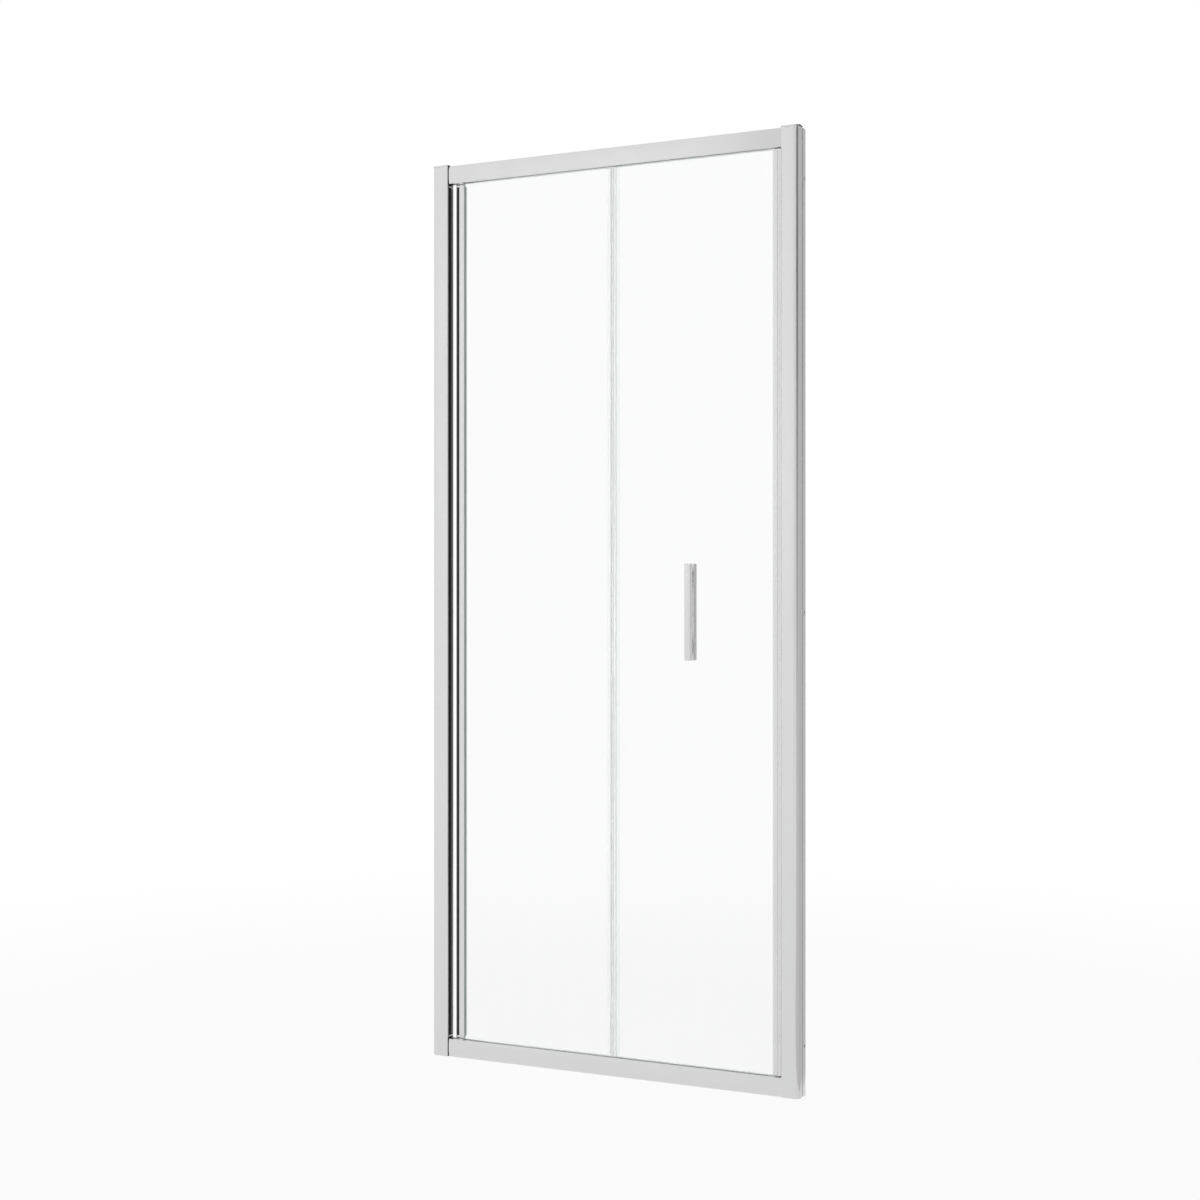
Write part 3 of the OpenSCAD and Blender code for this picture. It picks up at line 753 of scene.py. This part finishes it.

# %% [markdown]
# ## Rails
#
# Both rails share one section: a slightly crowned front, a track with a slot for the guide
# pins, and closed chambers past it that keep it straight. The bottom rail is the top rail
# turned over. The slot's rear edge is bevelled, so that the eye meets bright metal there and
# not the dark track. The left ends stop short of the jamb and leave room for a black pad, which
# is painted shade: the dark line where the rails meet the jamb.

# %% Rails
rail_height = rail_high.z - rail_low.z
rail_half = rail_high.y
crown_radius = (rail_height ** 2 / 4 + rail_crown ** 2) / (2 * rail_crown)
crown_sweep = math.asin(rail_height / 2 / crown_radius)
crown_steps = 16
crown = arc(crown_radius - rail_half, rail_height / 2, crown_radius,
            math.pi - crown_sweep, 2 * crown_sweep, crown_steps)
track_front = -rail_half + wall + rail_crown
track_back = rail_half - wall
track_end = lip + track_height
slot_bevel = 1.5 * mm
rail_round = 0.6 * mm
pad_thickness = 1.2 * mm
joint_gap = pad_thickness + 0.1 * mm
rail_section = rounded([(*point, 0) for point in crown] + [
    (-slot_half, 0, fine), (-slot_half, lip, fine), (track_front, lip, fine),
    (track_front, track_end, fine), (track_back, track_end, fine), (track_back, lip, fine),
    (slot_half, lip, 0), (slot_half, slot_bevel, 0), (slot_half + slot_bevel, 0, 0),
    (rail_half, 0, rail_round), (rail_half, rail_height, rail_round)])
rib_height = track_end + wall + (rail_height - track_end - 2 * wall) / 2
chambers = [rectangle(track_front, track_end + wall, track_back, rib_height - wall / 2, fine),
            rectangle(track_front, rib_height + wall / 2, track_back, rail_height - wall, fine)]


def standing(points, base, direction):
    """The section with its open face at a height, going up (1) or down (-1) from it."""
    return [Vector((y, base + direction * into)) for y, into in points]


for name, base, direction in (("top_rail", rail_low.z, 1), ("bottom_rail", sill_high.z, -1)):
    rail = extrusion(f"{name}_profile", standing(rail_section, base, direction),
                     [standing(chamber, base, direction) for chamber in chambers],
                     rail_low.x + joint_gap, rail_high.x, "X", ease=0.5 * mm)
    fit(rail, "frame", silver_level, "satin_silver", name)

# %% Black pads of painted shade between the rails' ends and the left jamb
# The pads' black is painted shade: a dark line where the rails meet the jamb.
pad_front, pad_rear = rail_low.y + 0.3 * mm, rail_high.y - 1 * mm
pad_outline = rectangle(inner_x, pad_front, inner_x + pad_thickness, pad_rear, 0.2 * mm)
painted_shade_pads = [sweep(pad_outline, [], low, high, "Z", 0.1 * mm, 1)
            for low, high in ((sill_low.z, sill_high.z), (rail_low.z, jamb_high.z))]
fit(put_together("rail_end_painted_shade_pads", painted_shade_pads), "frame", strip_black_and_painted_shade, "black_rubber")

# %% [markdown]
# ## Seals and magnets
#
# The left jamb carries a strip in two parts: black rubber with raised ribs in front, and the
# smooth carrier that holds it behind. The carrier's dark grey is painted shade, for the shade on
# the jamb's inner side. Small clips hold the strip's ends. The pivot stile carries a hollow bulb
# that faces the strip, so its section is a tube on a stem. On the closing side two magnetic
# strips meet face to face.

# %% Ribbed strip on the left jamb, and its clips
strip_low, strip_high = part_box("jamb_strip_seal")
rubber_start, rubber_end = strip_low.y + 1.5 * mm, strip_low.y + 9 * mm
rib_count = 4
rib_pitch = (rubber_end - rubber_start) / rib_count
rib_top, rib_valley = 0.6 * rib_pitch, 0.2 * rib_pitch
rib_slope = (rib_pitch - rib_top - rib_valley) / 2
rib_base = (strip_low.x + strip_high.x) / 2
rib_round = 0.15 * mm
rubber_corners = [(strip_low.x, rubber_start, 0)]
for k in range(rib_count):
    rib_y = rubber_start + k * rib_pitch + rib_slope
    rubber_corners += [(strip_high.x, rib_y, rib_round),
                       (strip_high.x, rib_y + rib_top, rib_round),
                       (rib_base, rib_y + rib_top + rib_slope, rib_round)]
    if k < rib_count - 1:
        rubber_corners.append((rib_base, rib_y + rib_pitch - rib_slope, rib_round))
rubber_corners.append((strip_low.x, rubber_end, 0))
rubber = extrusion("jamb_strip_rubber", rounded(rubber_corners, 3), [],
                   strip_low.z, strip_high.z, ease=0.1 * mm, steps=1)
fit(rubber, "frame", strip_black_and_painted_shade, "black_rubber", "jamb_strip_seal")
# The carrier behind the ribs is dark grey as painted shade on the jamb's inner side.
carrier_slope = 1.5 * mm
carrier = extrusion("jamb_strip_painted_shade_carrier", rounded([
    (strip_low.x, rubber_end, 0), (rib_base, rubber_end, 0),
    (strip_high.x, rubber_end + carrier_slope, 0.4 * mm),
    (strip_high.x, strip_high.y, fine), (strip_low.x, strip_high.y, 0)]), [],
    strip_low.z, strip_high.z, ease=0.1 * mm, steps=1)
fit(carrier, "frame", painted_shade_grey, "black_rubber", "jamb_strip_seal")

clip_low, clip_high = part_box("strip_clips")
clip_height = 2 * mm
clips = [sweep(rectangle(clip_low.x, clip_low.y, clip_high.x, clip_high.y, 0.2 * mm), [],
               base, base + clip_height, "Z", 0.2 * mm, 2)
         for base in (clip_low.z, clip_high.z - clip_height)]
fit(put_together("strip_end_clips", clips), "frame", silver_level, "satin_silver",
    "strip_clips")

# %% Hollow bulb on the pivot stile
bulb_low, bulb_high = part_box("bulb_seal")
bulb_radius = (bulb_high.y - bulb_low.y) / 2
bulb_x = bulb_low.x + bulb_radius
bulb_wall = 0.9 * mm
stem_half = bulb_radius / 2
opening = math.asin(stem_half / bulb_radius)
bulb_steps = 40
bulb_section = [Vector((bulb_high.x, stem_half)),
                *arc(bulb_x, 0, bulb_radius, opening, 2 * (math.pi - opening), bulb_steps),
                Vector((bulb_high.x, -stem_half))]
bulb = extrusion("bulb_seal_profile", bulb_section,
                 [circle(bulb_x, 0, bulb_radius - bulb_wall)],
                 bulb_low.z, bulb_high.z, ease=0.15 * mm, steps=2)
fit(bulb, "leaf_a", black_rubber, "black_rubber", "bulb_seal")

# %% Magnetic strips with sunk lines
def magnet_strip(name, node, body, face_side):
    """A strip whose meeting face has two shallow lines, where the magnet is pushed in."""
    low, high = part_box(node)
    face, back = (low.x, high.x) if face_side < 0 else (high.x, low.x)
    line_depth, line_half = -face_side * 0.3 * mm, 0.25 * mm
    line_y = 0.62 * high.y
    soft = 0.35 * mm
    section = [(back, low.y, 0), (face, low.y, soft)]
    for y in (-line_y, line_y):
        section += [(face, y - line_half, 0), (face + line_depth, y, 0),
                    (face, y + line_half, 0)]
    section += [(face, high.y, soft), (back, high.y, 0)]
    made = extrusion(name, rounded(section, 3), [], low.z, high.z, ease=0.2 * mm, steps=2)
    fit(made, body, magnet_white, "white_magnet", node)


magnet_strip("jamb_magnet_strip", "jamb_magnet", "frame", -1)
magnet_strip("leaf_magnet_strip", "leaf_magnet", "leaf_b", 1)

# %% [markdown]
# ## Glass leaves
#
# A pane is cut, drilled, ground along its edges and only then toughened, so every edge has a
# small 45 degree arris, also round the two handle holes. The pane is swept through its
# thickness, and the faces of the edge take the ground finish.

# %% Glass leaves with ground edges
def pane(name, node, body, holes, bonded_x=None):
    """A pane with ground edges; the bonded_x edge takes the bond's colour, partly painted shade.
    """
    low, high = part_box(node)
    arris, corner = 0.6 * mm, 1.5 * mm
    outline = rectangle(low.z, low.x, high.z, high.x, corner, 4)
    made = extrusion(name, outline, holes, low.y, high.y, "Y", ease=arris, steps=1)
    fit(made, body, glass_face, "clear_glass", node)
    made.data.materials.append(glass_edge)
    made.data.materials.append(bond_grey_and_painted_shade)
    for face in made.data.polygons:
        bonded = bonded_x is not None and abs(face.center.x - bonded_x) < arris
        face.material_index = 0 if abs(face.normal.y) > 0.99 else 2 if bonded else 1


handle_low, handle_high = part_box("handle_outer")
sleeve_low, sleeve_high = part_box("handle_sleeves")
handle_x = (handle_low.x + handle_high.x) / 2
handle_hole = 5 * mm
fixing_heights = (sleeve_low.z + handle_hole, sleeve_high.z - handle_hole)
handle_holes = [circle(z, handle_x, handle_hole) for z in fixing_heights]
pane("glass_leaf_a", "glass_a", "leaf_a", [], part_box("glass_a")[0].x)
pane("glass_leaf_b", "glass_b", "leaf_b", handle_holes)

# %% [markdown]
# ## Pivot stile, closing stile and their caps
#
# The pivot stile grips the first pane with a lip behind it. The pane's edge is bonded to the
# stile, and a small bead of the bond fills the corner between the stile and the glass front.
# The bond's dark grey green is in part painted shade, for the shadow at the stile's edge.
# The closing stile is slotted over the second pane, and a fine groove runs down its front.
# Caps of the same section close the stiles' ends.

# %% Pivot stile
stile_low, stile_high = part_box("pivot_stile_bar")
pane_low, pane_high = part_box("glass_a")
rear_lip = 3 * mm
stile_edge = stile_high.x - rear_lip
stile_round, stile_edge_round = 0.8 * mm, 0.5 * mm
bond_gap = 0.2 * mm
stile_section = rounded([
    (stile_low.x, stile_low.y, stile_round), (stile_edge, stile_low.y, stile_edge_round),
    (stile_edge, pane_high.y + bond_gap, 0), (stile_high.x, pane_high.y + bond_gap, fine),
    (stile_high.x, stile_high.y, fine), (stile_low.x, stile_high.y, stile_round)])
stile = extrusion("pivot_stile_profile", stile_section, [], stile_low.z, stile_high.z)
fit(stile, "leaf_a", silver_upright, "satin_silver", "pivot_stile_bar")

bead = 1.2 * mm
bead_section = rounded([(stile_edge, pane_low.y, 0), (stile_edge, pane_low.y - bead, 0),
                        (stile_edge + bead, pane_low.y, 0)])
# The bead's dark grey green is in part painted shade.
bond = extrusion("glass_bond_bead", bead_section, [], stile_low.z, stile_high.z, ease=0)
fit(bond, "leaf_a", bond_grey_and_painted_shade, "clear_plastic")

# %% Caps of the pivot stile
cap_fillet, notch_round = 0.4 * mm, 0.2 * mm
notch_y = -bulb_radius - 0.3 * mm
pivot_x = sum(corner.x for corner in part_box("pivot_pin_top")) / 2
pin_radius, close_fit = 2.5 * mm, 0.05 * mm

for end in ("top", "bottom"):
    low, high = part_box(f"stile_cap_{end}")
    section = rounded([
        (low.x, low.y, cap_fillet), (high.x, low.y, cap_fillet),
        (high.x, high.y, cap_fillet), (stile_low.x, high.y, cap_fillet),
        (stile_low.x, notch_y, 0), (low.x, notch_y, notch_round)])
    pin_hole = circle(pivot_x, 0, pin_radius + close_fit)
    cap = extrusion(f"pivot_stile_cap_{end}", section, [pin_hole], low.z, high.z,
                    ease=fine)
    fit(cap, "leaf_a", silver_level, "satin_silver", f"stile_cap_{end}")

# %% Closing stile and its caps
closing_low, closing_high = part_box("closing_stile")
bite = 6.5 * mm
slot_gap = pane_high.y + bond_gap
guide_x = sum(corner.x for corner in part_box("guide_pin_top")) / 2
groove_x = guide_x - bond_gap
groove, groove_round = 0.5 * mm, 0.1 * mm
corner, slot_corner = 0.5 * mm, 0.15 * mm
closing_section = rounded([
    (closing_low.x, closing_low.y, corner), (groove_x - groove, closing_low.y, groove_round),
    (groove_x, closing_low.y + groove, 0), (groove_x + groove, closing_low.y, groove_round),
    (closing_high.x, closing_low.y, corner), (closing_high.x, closing_high.y, corner),
    (closing_low.x, closing_high.y, corner), (closing_low.x, slot_gap, slot_corner),
    (closing_low.x + bite, slot_gap, 0), (closing_low.x + bite, -slot_gap, 0),
    (closing_low.x, -slot_gap, slot_corner)], 4)
guide_play = 0.06 * mm
guide_bore = [circle(guide_x, 0, pin_radius + guide_play)]
closing = extrusion("closing_stile_profile", closing_section, guide_bore,
                    closing_low.z, closing_high.z)
fit(closing, "leaf_b", silver_upright, "satin_silver", "closing_stile")

for end in ("top", "bottom"):
    low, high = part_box(f"closing_cap_{end}")
    cap = extrusion(f"closing_stile_cap_{end}", closing_section, guide_bore,
                    low.z, high.z, ease=0.1 * mm, steps=2)
    fit(cap, "leaf_b", silver_level, "satin_silver", f"closing_cap_{end}")

# %% [markdown]
# ## Handle
#
# The pull is a pair of bars, one on each side of the glass. The inner bar has two pockets,
# where socket screws sit and pull both bars onto thin pads. The bars' long edges have a radius
# of a millimetre, and so have their ends. The faces that look at the glass are painted white,
# as painted light: the narrow gap between the bars lies in shade, and the white makes it read
# as a light line and not as a black one.

# %% Handle bars
inner_low, inner_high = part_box("handle_inner")
screws_low, screws_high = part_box("handle_screws")
head_thickness = 2.4 * mm
head_y = screws_high.y - head_thickness
bar_round = 1 * mm


def bar(name, low, high):
    outline = rectangle(low.x, low.y, high.x, high.y, bar_round, 6)
    return extrusion(name, outline, [], low.z, high.z, ease=bar_round, steps=6)


def add_painted_light(made, side):
    """Paints the face that looks to this side along Y white: painted light in the shaded gap."""
    made.data.materials.append(painted_light_white)
    for face in made.data.polygons:
        face.material_index = int(face.normal.y * side > 0.99)


outer_bar = bar("handle_outer_bar", handle_low, handle_high)
fit(outer_bar, "leaf_b", silver_handle, "satin_silver", "handle_outer")
add_painted_light(outer_bar, 1)
inner_bar = bar("handle_inner_bar", inner_low, inner_high)
pocket_radius = 4.3 * mm
drill(inner_bar, [bore(head_y, inner_high.y + mm, (handle_x, 0, z), "Y", pocket_radius)
                  for z in fixing_heights])
fit(inner_bar, "leaf_b", silver_handle, "satin_silver", "handle_inner")
add_painted_light(inner_bar, -1)

# %% Pads, sleeves and screws of the handle
shank = 2 * mm
head, head_round, head_bevel = 2 * shank, 0.35 * mm, 0.1 * mm
socket, socket_depth = hexagon(2.5 * mm), 1.6 * mm
socket_mouth, mouth_depth = 1.7 * mm, 0.15 * mm
tip_bevel = 0.4 * mm
pad_height, pad_corner = 23 * mm, 1.2 * mm
pads_low, pads_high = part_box("handle_pads")
handle_pad = pads_high.y - pane_high.y
tube_inner, tube_outer = shank + close_fit, handle_hole - close_fit
tip_y, top_y = screws_low.y, screws_high.y
pads, sleeves, screws = [], [], []
for z in fixing_heights:
    for base in (pads_low.y, pane_high.y):
        outline = rectangle(z - pad_height / 2, pads_low.x, z + pad_height / 2,
                            pads_high.x, pad_corner)
        pads.append(sweep(outline, [circle(z, handle_x, tube_inner)],
                          base, base + handle_pad, "Y", 0.25 * mm, 2))
    sleeves.append(turned([(sleeve_low.y, tube_inner), (sleeve_low.y, tube_outer),
                           (sleeve_high.y, tube_outer), (sleeve_high.y, tube_inner)],
                          (handle_x, 0, z), "Y", ends=False))
    screws.append(turned([
        (tip_y, shank - tip_bevel), (tip_y + tip_bevel, shank), (head_y, shank),
        (head_y, head), (top_y - head_round, head), (top_y - head_bevel, head - head_bevel),
        (top_y, head - head_round), (top_y, socket_mouth), (top_y - mouth_depth, socket),
        (top_y - socket_depth, socket)], (handle_x, 0, z), "Y"))
fit(put_together("handle_pad_set", pads), "leaf_b", nylon_white, "white_nylon", "handle_pads")
fit(put_together("handle_sleeve_set", sleeves), "leaf_b", nylon_white, "white_nylon",
    "handle_sleeves")
fit(put_together("handle_socket_screws", screws), "leaf_b", stainless, "stainless",
    "handle_screws")

# %% [markdown]
# ## Clamp screws
#
# Three screws a side clamp the jamb in its channel. Their domed heads are the three tiny bumps
# beside the left jamb, and each head has a cross recess. The right-hand screws are mirrored.

# %% Clamp screws with domed heads and cross recesses
dome = 2.2 * mm
recess_rim, recess_floor = 0.9 * dome, 0.35 * dome
rim_cross, floor_cross = cross(3.6 * mm, 1.1 * mm), cross(3.4 * mm, 0.9 * mm)
clamp_length, clamp_tip, clamp_taper = 18 * mm, 1 * mm, 0.6 * mm


def clamp_screw(sign, z):
    """A screw at this height, as rings from its tip to the floor of its recess."""
    rings = [(-clamp_length, shank - clamp_taper), (-clamp_length + clamp_tip, shank),
             (0, shank), (0, head_radius)]
    rings += [(dome * math.sin(a), head_radius * math.cos(a))
              for a in [math.radians(angle) for angle in (15, 30, 45, 60)]]
    rings += [(recess_rim, rim_cross), (recess_floor, floor_cross)]
    points, faces = turned(rings, (tongue_x, hole_y, z), "X", count=64)
    if sign < 0:
        points = [[-x, y, height] for x, y, height in points]
        faces = [face[::-1] for face in faces]
    return points, faces


clamp_screws = [clamp_screw(sign, z) for sign in sides.values() for z in hole_heights]
fit(put_together("clamp_screw_set", clamp_screws), "frame", stainless, "stainless",
    "clamp_screws")

# %% [markdown]
# ## Solids that stay
#
# The middle hinge keeps its solids, because each strip is one clear body with its webs and
# knuckles, and clear plastic would show every inner wall of a mesh that is only pushed together.
# The pins, bushes, blocks, glides and stops stay as well and get softer edges.

# %% Softer edges on the solids that stay
edge_width = {
    "pivot_pin_top": 0.3, "pivot_pin_bottom": 0.3, "guide_pin_top": 0.4,
    "guide_pin_bottom": 0.4, "pivot_bush_top": 0.25, "pivot_bush_bottom": 0.25,
    "pivot_block_top": 0.4, "pivot_block_bottom": 0.4, "glide_top": 0.6,
    "glide_bottom": 0.6, "track_stops": 0.6, "clamp_blocks": 0.4, "rail_screws": 0.2}
for node, width in edge_width.items():
    soften(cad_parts[node], width * mm)
print("softened:", len(edge_width))

# %% [markdown]
# ## Studio
#
# The backdrop is white without adding light: the world is white only for rays that come from
# the camera, from a mirror-like bounce or through glass, and much dimmer for the rays that
# light matt surfaces. The floor does the same and keeps a soft shadow. One large lamp at the
# front left gives the fronts their lighter tone. A low lamp beside the camera reaches into
# the slots and the gap behind the handle, and a rear lamp keeps the back readable.

# %% White backdrop that gives little light
def seen_white(finish):
    """1 for the rays that should meet pure white, else 0."""
    looks = [finish.node("ShaderNodeLightPath", {}, {}, out=ray) for ray in (0, 3, 6)]
    return (looks[0] + looks[1] + looks[2]) > 0.5


sky = Finish("studio_sky", bpy.data.worlds)
sky_light = 0.10
sky_tone = sky.mix(seen_white(sky), (sky_light,) * 3, (1, 1, 1))
bpy.context.scene.world = sky.surface(
    sky.node("ShaderNodeBackground", {}, {"Color": sky_tone, "Strength": 1.0}))

print("sky gives", sky_light, "of white light")

# %% Pale floor that fades into the backdrop
backdrop = Finish("pale_floor")
speckle = backdrop.grain(6 * mm)
paper = backdrop.node("ShaderNodeBsdfDiffuse", {}, {
    "Color": backdrop.mix(speckle, (0.52, 0.52, 0.52), (0.56, 0.56, 0.56))})
glow = backdrop.glow()
spot = backdrop.node("ShaderNodeTexCoord", {}, {}, out=3)
distance = backdrop.node("ShaderNodeVectorMath", {"operation": "LENGTH"}, {0: spot}, out=1)
fade_start, fade_end, near_shade = 0.7, 3.2, 0.06
near = 1 - backdrop.node("ShaderNodeMapRange", {"interpolation_type": "SMOOTHSTEP"},
                         {0: distance, 1: fade_start, 2: fade_end})
paper_share = 1 - seen_white(backdrop) * (1 - near_shade * near)
floor_finish = backdrop.surface(
    backdrop.node("ShaderNodeMixShader", {}, {0: paper_share, 1: glow, 2: paper}))

half = 30.0
floor = piece("studio_floor", [(-half, -half, 0), (half, -half, 0), (half, half, 0),
                               (-half, half, 0)], [(0, 1, 2, 3)])
floor.data.materials.append(floor_finish)
floor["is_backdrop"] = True
print("the floor fades to white within", fade_end, "m")

# %% Lamps
def hide_from(made, *rays):
    """Makes an object invisible to some kinds of rays."""
    for ray in rays:
        setattr(made, f"visible_{ray}", False)


def lamp(name, place, target, size, power):
    light = bpy.data.lights.new(name, "AREA")
    light.shape = "RECTANGLE"
    light.size, light.size_y = size
    light.energy = power
    holder = bpy.data.objects.new(name, light)
    holder.location = place
    holder.rotation_mode = "QUATERNION"
    aim = Vector(target) - Vector(place)
    holder.rotation_quaternion = aim.to_track_quat("-Z", "Y")
    hide_from(holder, "camera", "glossy", "transmission")
    bpy.context.scene.collection.objects.link(holder)
    print(name, "at", place, "with", power, "W")


middle = (0, 0, 1.0)
lamp("key_lamp", (-1.9, -4.4, 2.4), middle, (2.6, 2.6), 146)
lamp("low_lamp", (1.5, -3.9, 0.4), middle, (1.6, 0.5), 46)
lamp("rear_lamp", (-1.4, 3.6, 3.2), middle, (2.6, 2.6), 100)

# %% [markdown]
# ## Boards that only the metal sees
#
# A white studio hides the shape of bright metal. Photographers stand boards outside the
# picture, so that the metal mirrors them. Three stand here from the camera round to the right
# and the back: a pale one, which shades the right jamb's front, a black one, which is the
# dark line on every rounded corner, and a grey one, which tones the sides that face right.
# The black board gets paler towards the floor, and so does the line. The lower part of the
# sides mirrors the floor in front of the boards, so a grey cloth lies there. Only mirror-like
# rays can see the boards and the cloth.

# %% Pale, black and grey board, and the cloth before them
def mirrored(name, points, faces, white, fade=0.0):
    """A stage piece for mirror-like rays, with a share of white that fades upwards."""
    cloth = Finish(f"{name}_cloth")
    place = cloth.node("ShaderNodeTexCoord", {}, {}, out=3)
    up = cloth.node("ShaderNodeSeparateXYZ", {}, {0: place}, out=2)
    black = cloth.node("ShaderNodeBsdfDiffuse", {}, {"Color": (0.01, 0.01, 0.01, 1)})
    glow = cloth.glow()
    look = cloth.node("ShaderNodeMixShader", {}, {0: white - fade * up, 1: black, 2: glow})
    made = piece(name, points, faces)
    made.data.materials.append(cloth.surface(look))
    hide_from(made, "camera", "diffuse", "transmission", "shadow")
    made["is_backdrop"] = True
    print(name, "with", white, "of white at the floor")


def board(name, feet, white, fade=0.0, height=4.5):
    """Upright panels between feet on the floor."""
    mirrored(name, [(x, y, z) for x, y in feet for z in (0, height)],
             [(2 * k, 2 * k + 2, 2 * k + 3, 2 * k + 1) for k in range(len(feet) - 1)],
             white, fade)


pale_feet = [(-0.1, -2.95), (1.55, -2.75)]
black_feet = [pale_feet[-1], (2.81, -1.78)]
grey_feet = [black_feet[-1], (3.3, 0.6), (0.2, 3.3)]
board("studio_pale_board", pale_feet, 0.84)
board("studio_black_board", black_feet, 0.70, 0.27)
board("studio_grey_board", grey_feet, 0.66)
cloth_outline = [(0.42, 0.08), (0.45, -0.35), *black_feet, *grey_feet[1:]]
mirrored("studio_grey_cloth", [(x, y, 1 * mm) for x, y in cloth_outline],
         [tuple(range(len(cloth_outline)))], 0.66)

# %% [markdown]
# ## Camera
#
# The picture was taken from the right, at half the door's height, with the camera level. Its
# place comes from the vanishing lines of the rails and from the depths of the jambs.

# %% Camera at the picture's angle
camera_place = Vector((1.425, -3.1875, 0.947))
looking = Vector((-0.4131, 0.9107, 0))
camera_data = bpy.data.cameras.new("camera")
camera_data.lens, camera_data.sensor_width = 52.5, 36.0
camera = bpy.data.objects.new("camera", camera_data)
camera.location = camera_place
camera.rotation_mode = "QUATERNION"
camera.rotation_quaternion = looking.to_track_quat("-Z", "Y")
bpy.context.scene.collection.objects.link(camera)
bpy.context.scene.camera = camera
bpy.context.scene.view_settings.view_transform = "Standard"
print("camera", round((camera_place - Vector(middle)).length, 2), "m from the door's middle")

# %% [markdown]
# ## Both boxes
#
# The sizes of the imported model's box and of the dressed door's box are printed, one under
# the other. The dressed door has to stay inside the box of the imported model.

# %% Print both boxes
visual_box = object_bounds()
for label, (low, high) in (("packed", cad_box), ("dressed", visual_box)):
    print(label, [round(part, 4) for part in high - low])
